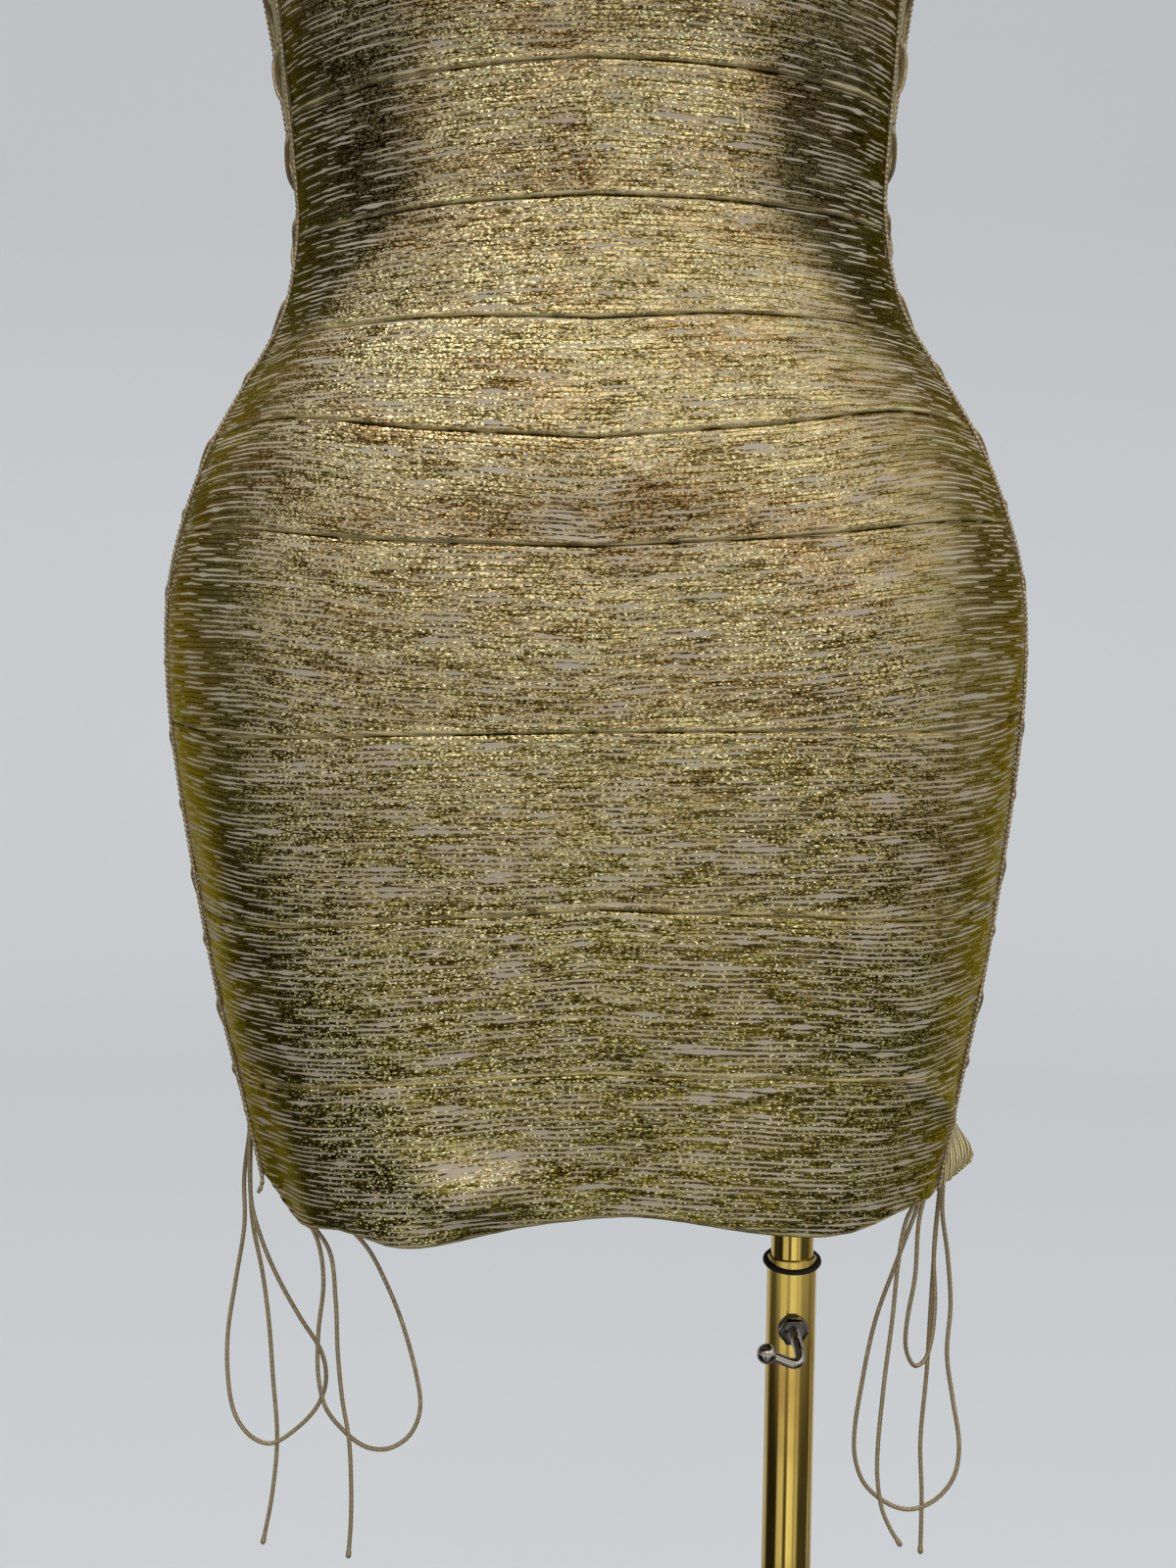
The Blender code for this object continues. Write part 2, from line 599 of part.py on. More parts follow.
# ---- the form and its stand ----------------------------------------------------------------------
def build_form():
    """The torso form: flat underneath, its arms and neck closed off in smooth curves."""
    bm = bmesh.new()
    rest = -(CLOTH + FORM_CLEAR)
    rows = [(FORM_BOTTOM, -0.012), (FORM_BOTTOM + 0.002, -0.005), (FORM_BOTTOM + 0.007, -0.001)]
    height = FORM_BOTTOM + 0.020
    while height < 0.300:
        rows.append((height, 0.0))
        height += FORM_ROW
    rows += [(section.height, 0.0) for section in FIGURE if 0.300 < section.height < 0.430]
    rows += [(0.4300, 0.0), (0.4370, -0.003), (0.4410, -0.010), (0.4430, -0.022)]
    rings = []
    for height, inset in rows:
        ring = [form_point(2 * pi * k / FORM_COLUMNS, min(height, 0.430), rest + inset)
                for k in range(FORM_COLUMNS)]
        level = stood_up(Vector((0, 0, height))).z - stood_up(Vector((0, 0, min(height, 0.430)))).z
        if height < FORM_BOTTOM + 0.001:
            for point in ring:
                point.z = WAIST_HEIGHT + FORM_BOTTOM
        rings.append([bm.verts.new(point + Vector((0, 0, level))) for point in ring])
    joined_rings(bm, rings)
    return add_mesh("form_torso", bm, SHELL)


def build_stand():
    """Base, socket and both tubes of the pole, with the rubber ring on the outer one."""
    pole = (POLE_X, POLE_Y)
    edge = 0.004
    turned("base_disc", [(0, 0), (BASE_RADIUS - edge, 0), (BASE_RADIUS, edge / 2),
                         (BASE_RADIUS, BASE_THICK - edge), (BASE_RADIUS - edge, BASE_THICK),
                         (0, BASE_THICK)], PAINT, sides=48)
    foot = BASE_THICK + SEAM_GAP
    top = foot + SOCKET_HEIGHT
    bore = OUTER_RADIUS + SEAM_GAP
    turned("base_socket", [(bore, foot), (SOCKET_RADIUS + 0.008, foot),
                           (SOCKET_RADIUS + 0.008, foot + 0.005), (SOCKET_RADIUS, foot + 0.008),
                           (SOCKET_RADIUS, top - 0.002), (SOCKET_RADIUS - 0.002, top), (bore, top)],
           BRASS, pole, ring=True)
    outer = turned("pole_outer", [(OUTER_BORE, foot), (OUTER_RADIUS, foot),
                                  (OUTER_RADIUS, OUTER_TOP), (OUTER_BORE, OUTER_TOP)],
                   BRASS, pole, ring=True)
    cutter_mesh = bmesh.new()
    bmesh.ops.create_cone(cutter_mesh, cap_ends=True, segments=12, radius1=SCREW_RADIUS + 0.0004,
                          radius2=SCREW_RADIUS + 0.0004, depth=0.008)
    cutter = add_mesh("clamp_hole_cutter", cutter_mesh, STEEL)
    cutter.rotation_euler = (pi / 2, 0, 0)
    cutter.location = (POLE_X, POLE_Y - OUTER_RADIUS, CLAMP_HEIGHT)
    cutter.hide_render = True
    cutter.display_type = "WIRE"
    hole = outer.modifiers.new("clamp hole", "BOOLEAN")
    hole.operation = "DIFFERENCE"
    hole.solver = "EXACT"
    hole.object = cutter
    section = [(OUTER_RADIUS + SEAM_GAP + RING_RADIUS * (1 + cos(2 * pi * k / 8)),
                RING_HEIGHT + RING_RADIUS * sin(2 * pi * k / 8)) for k in range(8)]
    ring = turned("pole_ring", section, RUBBER, pole, ring=True)
    for vertex in ring.data.vertices:
        vertex.co.z += RING_TILT * (vertex.co.y - POLE_Y)

    under = WAIST_HEIGHT + FORM_BOTTOM - SEAM_GAP
    seat = under - FLANGE_THICK - 0.002
    grip = INNER_RADIUS + SEAM_GAP
    turned("form_flange", [(0, seat), (grip, seat), (grip, under - COLLAR_HEIGHT),
                           (COLLAR_RADIUS, under - COLLAR_HEIGHT), (COLLAR_RADIUS, under - FLANGE_THICK),
                           (FLANGE_RADIUS, under - FLANGE_THICK), (FLANGE_RADIUS, under), (0, under)],
           STEEL, pole)
    turned("pole_inner", [(INNER_BORE, INNER_BOTTOM), (INNER_RADIUS, INNER_BOTTOM),
                          (INNER_RADIUS, seat - SEAM_GAP), (INNER_BORE, seat - SEAM_GAP)],
           BRASS, pole, ring=True)


def build_clamp():
    """The clamp: a nut fixed on the outer tube, and a screw bent into a lever with a ball end."""
    face = POLE_Y - OUTER_RADIUS - SEAM_GAP
    bm = bmesh.new()
    rings = []
    across = NUT_FLATS / 2 / cos(pi / 6)
    bore = SCREW_RADIUS + 0.0004
    for radius, reach in ((across, 0), (across, NUT_THICK), (bore, NUT_THICK), (bore, 0)):
        ring = []
        for k in range(12):
            turn = 2 * pi * k / 12
            flat_share = cos(pi / 6) if k % 2 and radius == across else 1.0
            ring.append(bm.verts.new((POLE_X + radius * flat_share * sin(turn), face - reach,
                                      CLAMP_HEIGHT + radius * flat_share * cos(turn))))
        rings.append(ring)
    joined_rings(bm, rings + rings[:1], closed_ends=False)
    add_mesh("clamp_nut", bm, STEEL)

    axis = bpy.data.objects.new("clamp_axis", None)
    axis.location = (POLE_X, POLE_Y, CLAMP_HEIGHT)
    bpy.context.scene.collection.objects.link(axis)
    tip = -(INNER_RADIUS + 0.0004)
    route = [(0, tip, 0), (0, -0.0260, 0), (0.0004, -0.0310, -0.0008), (0.0009, -0.0350, -0.0027),
             (0.0009, -0.0376, -0.0049), (-0.0006, -0.0390, -0.0062), (-0.0034, -0.0395, -0.0058),
             (-0.0095, -0.0397, -0.0034)]
    swell = [1.0] * len(route)
    along = Vector((-0.93, -0.02, 0.36)).normalized()
    last = Vector(route[-1])
    centre = last + along * (BALL_RADIUS * 0.80)
    for turn in (-40, -10, 20, 50, 75):
        route.append(centre + along * BALL_RADIUS * sin(radians(turn)))
        swell.append(BALL_RADIUS / SCREW_RADIUS * cos(radians(turn)))
    cord("clamp_screw", route, SCREW_RADIUS, STEEL, swell, parent=axis)


def main():
    clear_scene()
    build_bands()
    build_side_trims()
    build_lacing()
    build_bows()
    build_form()
    build_stand()
    build_clamp()


main()
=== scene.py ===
"""Visual model of a gold-foil bandage-knit bodycon mini dress, laced down both sides, on a dress form.

Laid out as an add-on and run as a script. Metres, +Z up, and the dress's front faces -Y.
"""
from collections import namedtuple
from math import cos, pi, radians, sin

import bmesh
import bpy
import numpy as np
from bpy.props import FloatProperty, FloatVectorProperty, IntProperty, PointerProperty
from mathutils import Matrix, Vector


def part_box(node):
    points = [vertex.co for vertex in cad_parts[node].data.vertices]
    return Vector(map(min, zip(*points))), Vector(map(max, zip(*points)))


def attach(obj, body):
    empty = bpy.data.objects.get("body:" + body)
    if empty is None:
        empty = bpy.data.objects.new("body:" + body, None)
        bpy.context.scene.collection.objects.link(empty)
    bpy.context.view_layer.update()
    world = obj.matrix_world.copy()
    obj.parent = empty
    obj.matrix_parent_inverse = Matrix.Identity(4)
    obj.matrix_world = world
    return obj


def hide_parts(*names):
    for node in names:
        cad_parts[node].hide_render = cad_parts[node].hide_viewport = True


bl_info = {
    "name": "Laced bandage dress",
    "version": (1, 0, 0),
    "blender": (4, 5, 0),
    "location": "3D View > Sidebar > Dress",
    "description": "Builds a laced bandage-knit dress on its form and stand",
    "category": "Add Mesh",
}

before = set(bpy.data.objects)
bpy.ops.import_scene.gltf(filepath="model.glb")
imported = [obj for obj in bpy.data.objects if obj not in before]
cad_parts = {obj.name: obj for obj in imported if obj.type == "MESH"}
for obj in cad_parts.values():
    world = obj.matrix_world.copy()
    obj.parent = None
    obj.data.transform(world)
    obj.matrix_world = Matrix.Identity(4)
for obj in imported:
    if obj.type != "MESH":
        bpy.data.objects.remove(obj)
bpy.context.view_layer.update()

# ---- the cut of the dress, as in the solids ------------------------------------------------------
WAIST_HEIGHT = 1.100        # the waist above the floor
LEAN = 0.025                # the figure's slope toward -X as it rises, metres per metre
SQUARENESS = 2.2            # 2 is a true oval section, more is squarer
CLOTH = 0.0016              # thickness of the solids' cloth
SEAM_GAP = 0.0003
TAPE_WIDTH = 0.0120
LACE_GAP = 0.0100           # between the free edges of the two tapes of a side
EYELET_LEVELS = 20
EYELET_INSET = 0.0060       # from the tape's free edge to the eyelets' centres
KNOT_BEHIND = 0.0120        # from the back braid to the knot
KNOT_OUT = 0.0052           # from the cloth to the knot's middle
KNOT_HALF_HEIGHT = 0.0030
FORM_CLEAR = 0.0030         # between the cloth's inner face and the form
FORM_BOTTOM = -0.3350       # the form's flat underside, from the waist

FRONT_TAPE = (SEAM_GAP, SEAM_GAP + TAPE_WIDTH)
BACK_TAPE = (FRONT_TAPE[1] + LACE_GAP, FRONT_TAPE[1] + LACE_GAP + TAPE_WIDTH)
BACK_EDGE = BACK_TAPE[1] + SEAM_GAP
FRONT_EYELET = FRONT_TAPE[1] - EYELET_INSET
BACK_EYELET = BACK_TAPE[0] + EYELET_INSET

# Sections of the dressed figure, by height from the waist: half the width, the depth in front of
# and behind the middle, and where the front panel's side edge lies, in degrees round from the front.
FIGURE = np.array([
    # height, half width, front, back, edge
    (-0.4100, 0.1350, 0.0975, 0.0975, 75.5),
    (-0.3886, 0.1390, 0.1000, 0.1005, 76.0),
    (-0.3475, 0.1474, 0.1020, 0.1065, 76.5),
    (-0.3064, 0.1562, 0.1040, 0.1130, 77.5),
    (-0.2496, 0.1656, 0.1060, 0.1210, 79.0),
    (-0.2010, 0.1719, 0.1070, 0.1265, 80.5),
    (-0.1687, 0.1735, 0.1070, 0.1275, 81.5),
    (-0.1447, 0.1722, 0.1065, 0.1250, 81.0),
    (-0.1208, 0.1670, 0.1045, 0.1190, 79.5),
    (-0.0890, 0.1552, 0.1000, 0.1090, 78.0),
    (-0.0654, 0.1417, 0.0950, 0.0990, 77.0),
    (-0.0418, 0.1274, 0.0900, 0.0895, 76.0),
    (-0.0260, 0.1216, 0.0875, 0.0850, 75.5),
    (-0.0024, 0.1184, 0.0855, 0.0820, 74.5),
    (0.0132, 0.1190, 0.0860, 0.0830, 73.0),
    (0.0520, 0.1234, 0.0900, 0.0880, 70.5),
    (0.0909, 0.1288, 0.0965, 0.0950, 67.5),
    (0.1300, 0.1375, 0.1030, 0.1000, 67.5),
    (0.1650, 0.1450, 0.1055, 0.1030, 68.5),
    (0.2050, 0.1505, 0.1040, 0.1035, 70.5),
    (0.2450, 0.1570, 0.0985, 0.1010, 72.5),
    (0.2800, 0.1650, 0.0905, 0.0970, 73.5),
    (0.3020, 0.1680, 0.0820, 0.0900, 73.5),
    (0.3170, 0.1640, 0.0745, 0.0830, 73.5),
    (0.3300, 0.1500, 0.0680, 0.0755, 73.5),
    (0.3420, 0.1260, 0.0625, 0.0680, 73.5),
    (0.3530, 0.0990, 0.0585, 0.0620, 73.5),
    (0.3650, 0.0755, 0.0555, 0.0580, 73.5),
    (0.3800, 0.0620, 0.0535, 0.0550, 73.5),
    (0.4050, 0.0565, 0.0525, 0.0530, 73.5),
    (0.4400, 0.0555, 0.0520, 0.0525, 73.5),
])
HEIGHT, HALF_WIDTH, FRONT, BACK, EDGE = range(5)

# The bust, as one soft swelling a side: its place, its spread each way and how far it stands out.
Swelling = namedtuple("Swelling", "across height spread_across spread_up depth")
BUST = Swelling(across=0.072, height=0.152, spread_across=0.052, spread_up=0.046, depth=0.019)

# Seams between the bands, as heights from the waist at the middle (0 degrees), 25, 50 and 75
# degrees round, and the middle of the back panel. Relief is how strongly the seam is rolled.
Seam = namedtuple("Seam", "name middle quarter half side back relief")
SEAMS = [
    Seam("top_edge", 0.2360, 0.2370, 0.2310, 0.2180, 0.1980, 0.0),
    Seam("over_bust", 0.1920, 0.1920, 0.1860, 0.1740, 0.1700, 1.0),
    Seam("bust", 0.1440, 0.1430, 0.1370, 0.1290, 0.1330, 1.0),
    Seam("under_bust", 0.0960, 0.0935, 0.0885, 0.0855, 0.0940, 1.0),
    Seam("midriff", 0.0502, 0.0474, 0.0428, 0.0405, 0.0490, 1.0),
    Seam("waist", 0.0010, -0.0009, -0.0042, -0.0055, 0.0010, 1.0),
    Seam("high_hip", -0.0448, -0.0430, -0.0450, -0.0500, -0.0440, 1.0),
    Seam("belly", -0.0895, -0.0847, -0.0785, -0.0830, -0.0860, 1.0),
    Seam("hip", -0.1296, -0.1265, -0.1210, -0.1205, -0.1230, 1.0),
    Seam("full_hip", -0.1978, -0.1988, -0.2005, -0.1965, -0.1950, 0.75),
    Seam("thigh", -0.2640, -0.2685, -0.2740, -0.2720, -0.2660, 0.65),
    Seam("low_thigh", -0.3265, -0.3305, -0.3370, -0.3380, -0.3290, 0.25),
    Seam("hem", -0.3870, -0.3870, -0.3870, -0.3870, -0.3880, 0.0),
]
SEAM_ANGLES = (0.0, 25.0, 50.0, 75.0, 180.0)
LAST_LEVEL = len(SEAMS) - 1
KNOT_LEVELS = {-1: LAST_LEVEL - 0.50, 1: LAST_LEVEL - 0.26}     # of the left bow and the right one

# The hem's rise and dip, and the soft folds above it. Angles and widths are in degrees.
HemWave = namedtuple("HemWave", "angle width drop")
HEM_WAVES = [
    HemWave(angle=4.0, width=16.0, drop=-0.0045),
    HemWave(angle=-34.0, width=17.0, drop=0.0070),
    HemWave(angle=-60.0, width=11.0, drop=0.0085),
    HemWave(angle=-76.0, width=8.0, drop=-0.0070),
    HemWave(angle=40.0, width=20.0, drop=0.0065),
    HemWave(angle=72.0, width=12.0, drop=0.0040),
    HemWave(angle=150.0, width=16.0, drop=0.0050),
    HemWave(angle=-156.0, width=18.0, drop=-0.0040),
]
Fold = namedtuple("Fold", "angle width reach depth")
FOLDS = [
    Fold(angle=-30.0, width=9.0, reach=0.050, depth=0.0065),
    Fold(angle=-13.0, width=9.0, reach=0.060, depth=-0.0045),
    Fold(angle=3.0, width=11.0, reach=0.040, depth=-0.0040),
    Fold(angle=33.0, width=15.0, reach=0.045, depth=0.0035),
    Fold(angle=-64.0, width=9.0, reach=0.040, depth=-0.0030),
    Fold(angle=148.0, width=14.0, reach=0.050, depth=0.0055),
    Fold(angle=172.0, width=12.0, reach=0.045, depth=-0.0045),
    Fold(angle=-150.0, width=15.0, reach=0.050, depth=0.0045),
]

# Shallow creases, where the tight knit gathers. Each runs round the body about its
# place, given in degrees round and metres from the waist, and rises by its slope.
Crease = namedtuple("Crease", "angle height half_length half_width slope depth")
CREASES = [
    Crease(-58.0, 0.0180, 22.0, 0.0034, 0.00012, -0.0009),
    Crease(-50.0, -0.0110, 20.0, 0.0030, -0.00008, -0.0008),
    Crease(-62.0, -0.0270, 16.0, 0.0028, -0.00015, -0.0006),
    Crease(-20.0, -0.0200, 24.0, 0.0040, 0.00002, -0.0005),
    Crease(28.0, -0.0130, 26.0, 0.0040, -0.00004, -0.0006),
    Crease(58.0, 0.0120, 18.0, 0.0030, -0.00012, -0.0009),
    Crease(62.0, -0.0160, 18.0, 0.0030, 0.00010, -0.0008),
    Crease(55.0, -0.0330, 14.0, 0.0026, 0.00014, -0.0006),
    Crease(-66.0, -0.3000, 16.0, 0.0060, 0.00060, -0.0010),
    Crease(66.0, -0.3080, 15.0, 0.0060, -0.00060, -0.0010),
    Crease(70.0, -0.3560, 14.0, 0.0050, -0.00110, 0.0022),
    Crease(-20.0, -0.3740, 8.0, 0.0120, 0.0, 0.0060),
    Crease(-31.0, -0.3780, 6.0, 0.0100, 0.0, -0.0028),
    Crease(140.0, -0.0060, 24.0, 0.0034, 0.00010, -0.0009),
    Crease(-140.0, -0.0020, 24.0, 0.0034, -0.00010, -0.0009),
    Crease(-160.0, -0.0260, 24.0, 0.0040, 0.00006, -0.0008),
    Crease(160.0, 0.0240, 24.0, 0.0040, -0.00006, -0.0008),
    Crease(150.0, -0.2300, 22.0, 0.0060, 0.00030, -0.0009),
    Crease(-150.0, -0.2240, 22.0, 0.0060, -0.00030, -0.0009),
]

# The hanging strands of the bows, as routes in metres. Each leaves the underside of its side's knot
# at a place given across (outward) and along (toward the back).
INNER, OUTER = -0.0013, 0.0013
FORE, MIDDLE, AFT = -0.0027, 0.0, 0.0027
Strand = namedtuple("Strand", "side starts route")
STRANDS = {
    "left_loop_a": Strand(-1, [(OUTER, MIDDLE), (OUTER, FORE)], [
        (-0.143, 0.030, 0.702), (-0.143, 0.031, 0.681), (-0.147, 0.032, 0.655),
        (-0.150, 0.032, 0.634), (-0.150, 0.031, 0.616), (-0.147, 0.030, 0.599),
        (-0.140, 0.029, 0.589), (-0.131, 0.028, 0.586), (-0.121, 0.027, 0.592),
        (-0.111, 0.026, 0.603), (-0.107, 0.025, 0.615), (-0.109, 0.024, 0.628),
        (-0.118, 0.023, 0.643), (-0.127, 0.023, 0.659), (-0.134, 0.023, 0.675),
        (-0.139, 0.023, 0.693)]),
    "left_end_a": Strand(-1, [(OUTER, AFT)], [
        (-0.141, 0.035, 0.697), (-0.140, 0.036, 0.680), (-0.136, 0.036, 0.660),
        (-0.133, 0.036, 0.638), (-0.131, 0.036, 0.612), (-0.129, 0.035, 0.586),
        (-0.131, 0.034, 0.561), (-0.135, 0.034, 0.539)]),
    "left_loop_b": Strand(-1, [(INNER, MIDDLE), (INNER, AFT)], [
        (-0.137, 0.021, 0.720), (-0.133, 0.020, 0.710), (-0.127, 0.018, 0.702),
        (-0.119, 0.016, 0.693), (-0.110, 0.013, 0.680),
        (-0.107, 0.012, 0.662), (-0.109, 0.012, 0.640), (-0.109, 0.012, 0.622),
        (-0.106, 0.012, 0.608), (-0.099, 0.013, 0.598), (-0.089, 0.014, 0.590),
        (-0.079, 0.015, 0.589), (-0.070, 0.016, 0.595), (-0.066, 0.017, 0.606),
        (-0.068, 0.018, 0.621), (-0.074, 0.019, 0.642), (-0.081, 0.020, 0.659),
        (-0.090, 0.021, 0.675), (-0.104, 0.022, 0.688), (-0.121, 0.024, 0.698),
        (-0.129, 0.025, 0.704), (-0.134, 0.026, 0.711), (-0.137, 0.026, 0.720)]),
    "left_end_b": Strand(-1, [(INNER, FORE)], [
        (-0.136, 0.017, 0.720), (-0.132, 0.014, 0.710), (-0.126, 0.012, 0.702),
        (-0.115, 0.008, 0.691), (-0.104, 0.005, 0.677),
        (-0.101, 0.004, 0.656), (-0.100, 0.004, 0.634), (-0.098, 0.004, 0.614),
        (-0.095, 0.004, 0.596), (-0.094, 0.004, 0.578), (-0.094, 0.004, 0.561),
        (-0.095, 0.004, 0.545)]),
    "right_end_a": Strand(1, [(INNER, FORE)], [
        (0.144, 0.012, 0.703), (0.138, 0.009, 0.692), (0.135, 0.008, 0.675),
        (0.133, 0.008, 0.650), (0.130, 0.008, 0.621), (0.128, 0.008, 0.588),
        (0.130, 0.008, 0.570), (0.134, 0.008, 0.560), (0.139, 0.008, 0.552)]),
    "right_loop_big": Strand(1, [(INNER, MIDDLE), (OUTER, FORE)], [
        (0.146, 0.018, 0.702), (0.141, 0.016, 0.689), (0.135, 0.016, 0.672),
        (0.127, 0.016, 0.648), (0.122, 0.016, 0.622), (0.119, 0.017, 0.593),
        (0.123, 0.018, 0.577), (0.133, 0.020, 0.567), (0.144, 0.022, 0.563),
        (0.155, 0.023, 0.567), (0.163, 0.024, 0.577), (0.165, 0.025, 0.591),
        (0.162, 0.026, 0.610), (0.159, 0.026, 0.630), (0.160, 0.026, 0.652),
        (0.158, 0.025, 0.674), (0.155, 0.023, 0.694)]),
    "right_loop_small": Strand(1, [(INNER, AFT), (OUTER, MIDDLE)], [
        (0.148, 0.023, 0.702), (0.145, 0.022, 0.688), (0.144, 0.022, 0.665),
        (0.141, 0.022, 0.645), (0.141, 0.023, 0.633), (0.145, 0.025, 0.625),
        (0.150, 0.028, 0.627), (0.153, 0.030, 0.637), (0.154, 0.031, 0.652),
        (0.153, 0.031, 0.672), (0.154, 0.030, 0.692)]),
    "right_end_b": Strand(1, [(OUTER, AFT)], [
        (0.155, 0.034, 0.696), (0.154, 0.036, 0.675), (0.153, 0.037, 0.647),
        (0.152, 0.037, 0.619), (0.150, 0.037, 0.588), (0.151, 0.036, 0.564),
        (0.151, 0.036, 0.538)]),
}


def linear(code, alpha=1.0):
    """An sRGB hex colour as the linear values that the nodes take."""
    parts = [int(code[k:k + 2], 16) / 255 for k in (1, 3, 5)]
    return (*[p / 12.92 if p <= 0.04045 else ((p + 0.055) / 1.055)**2.4 for p in parts], alpha)


# ---- sizes and colours that a user would change --------------------------------------------------
def colour_property(name, description, code):
    return FloatVectorProperty(name=name, description=description, default=linear(code),
                               size=4, min=0.0, max=1.0, subtype="COLOR")


def length_property(name, description, default):
    return FloatProperty(name=name, description=description, default=default, min=0.0,
                         subtype="DISTANCE", unit="LENGTH", precision=5)


class DressSettings(bpy.types.PropertyGroup):
    """Sizes and colours of the dress"""
    foil: colour_property("Foil", "Colour of the gold foil", "#E2CC94")
    knit: colour_property("Knit", "Colour of the bare knit between the foil", "#C6B9A6")
    cloth: length_property("Cloth", "Thickness of the knitted bands", 0.0011)
    seam_roll: length_property("Seam roll", "How far the rolled edge above a seam stands out", 0.0005)
    seam_depth: length_property("Seam depth", "How deep the groove of a seam is", 0.0008)
    stretch: FloatProperty(name="Stretch", description="Worn length over cut length, round the body",
                           default=1.12, min=1.0, max=1.5, subtype="FACTOR")


class TrimSettings(bpy.types.PropertyGroup):
    """Sizes and colours of the tapes, braids, eyelets and laces"""
    braid: colour_property("Braid", "Colour of the chain braid", "#D9C69C")
    tape: colour_property("Tape", "Colour of the eyelet tape", "#C4AE76")
    cord: colour_property("Cord", "Colour of the laces", "#C2B08A")
    braid_width: length_property("Braid width", "Width of the chain braid", 0.0026)
    lace: length_property("Lace", "Diameter of the laces", 0.0020)
    eyelet: length_property("Eyelet", "Outside diameter of an eyelet", 0.0060)


class StandSettings(bpy.types.PropertyGroup):
    """Colours of the form and its stand"""
    form: colour_property("Form", "Colour of the form's painted shell", "#E2DBCD")
    brass: colour_property("Brass", "Colour of the polished brass", "#D9BC62")
    base: colour_property("Base", "Colour of the base's powder coat", "#2B2A29")


class StageSettings(bpy.types.PropertyGroup):
    """Floor, light and camera"""
    floor: colour_property("Floor", "Colour of the pale floor and backdrop", "#D2D5D8")
    brightness: FloatProperty(name="Brightness", description="Strength of the studio's soft light",
                              default=1.0, min=0.0, max=10.0)
    sides: IntProperty(name="Sides", description="Sides of the backdrop's round wall",
                       default=96, min=12, max=256)


# ---- the figure's surface ------------------------------------------------------------------------
def smooth(places, values, at):
    """Values at some places, on a smooth curve through a table's rows."""
    places, values = np.asarray(places, float), np.asarray(values, float)
    at = np.clip(at, places[0], places[-1])
    row = np.arange(len(places))
    low, high = np.maximum(row - 1, 0), np.minimum(row + 1, len(places) - 1)
    slopes = (values[high] - values[low]) / (places[high] - places[low])
    i = np.clip(np.searchsorted(places, at, side="right") - 1, 0, len(places) - 2)
    span = places[i + 1] - places[i]
    t = (at - places[i]) / span
    return ((2 * t**3 - 3 * t**2 + 1) * values[i] + (t**3 - 2 * t**2 + t) * slopes[i] * span
            + (3 * t**2 - 2 * t**3) * values[i + 1] + (t**3 - t**2) * slopes[i + 1] * span)


def figure_size(column, height):
    return smooth(FIGURE[:, HEIGHT], FIGURE[:, column], height)


def bell(distance, width):
    return np.exp(-(distance / width)**2)


def level_height(level, angle):
    """Height at a level: 0 is the top edge, and each whole number is the next seam down."""
    level, angle = np.broadcast_arrays(np.asarray(level, float), angle)
    index = np.clip(level.astype(int), 0, LAST_LEVEL - 1)
    share = level - index
    turn = np.degrees(angle)
    seams = np.array([smooth(SEAM_ANGLES, seam[1:6], np.abs(turn)) for seam in SEAMS])
    seams[-1] -= sum(wave.drop * bell(turn - wave.angle, wave.width) for wave in HEM_WAVES)
    upper = np.take_along_axis(seams, index[None], 0)[0]
    lower = np.take_along_axis(seams, index[None] + 1, 0)[0]
    return upper + (lower - upper) * share


def skin(angle, height):
    """Points on the dressed figure before it leans, with the waist's middle as the origin."""
    fullness = (np.abs(np.sin(angle))**SQUARENESS + np.abs(np.cos(angle))**SQUARENESS)**(-1 / SQUARENESS)
    across = figure_size(HALF_WIDTH, height) * np.sin(angle) * fullness
    reach = np.where(np.cos(angle) > 0, figure_size(FRONT, height), figure_size(BACK, height))
    depth = reach * np.cos(angle) * fullness
    ahead = np.clip(np.cos(angle) / 0.7, 0.0, 1.0)
    for side in (-1, 1):
        off_across = (across - side * BUST.across) / BUST.spread_across
        off_up = (height - BUST.height) / BUST.spread_up
        depth = depth + BUST.depth * np.exp(-off_across**2 - off_up**2) * ahead**2 * (3 - 2 * ahead)
    return np.stack([across, -depth, height + 0 * across], axis=-1)


def outward(angle, height):
    """Unit vectors out of the figure's surface."""
    step = 0.002
    round_it = skin(angle + step, height) - skin(angle - step, height)
    up_it = skin(angle, height + step) - skin(angle, height - step)
    out = np.cross(round_it, up_it)
    return out / np.linalg.norm(out, axis=-1, keepdims=True)


def stood_up(points):
    """The leaning figure's points in the whole part's space."""
    x, y, z = points[..., 0], points[..., 1], points[..., 2]
    return np.stack([x - LEAN * z, y, z + LEAN * x + WAIST_HEIGHT], axis=-1)


def dress_points(angle, level, out):
    """Points of the dress, `out` metres outside the plain surface of its solids."""
    angle = (angle + pi) % (2 * pi) - pi
    height = level_height(level, angle)
    turn = np.degrees(angle)
    above_hem = np.maximum(height + 0.387, 0.0)
    out = out + sum(fold.depth * bell(turn - fold.angle, fold.width) * bell(above_hem, fold.reach)
                    for fold in FOLDS)
    return stood_up(skin(angle, height) + outward(angle, height) * np.asarray(out)[..., None])


def angle_beyond(angle, level, distance):
    """The angles reached by going a distance round the dress from some angles."""
    steps, probe = 6, 0.002

    def turn_per_metre(at):
        chord = dress_points(at + probe, level, 0.0) - dress_points(at - probe, level, 0.0)
        return 2 * probe / np.linalg.norm(chord, axis=-1)

    for _ in range(steps):
        half_way = angle + distance / steps / 2 * turn_per_metre(angle)
        angle = angle + distance / steps * turn_per_metre(half_way)
    return angle


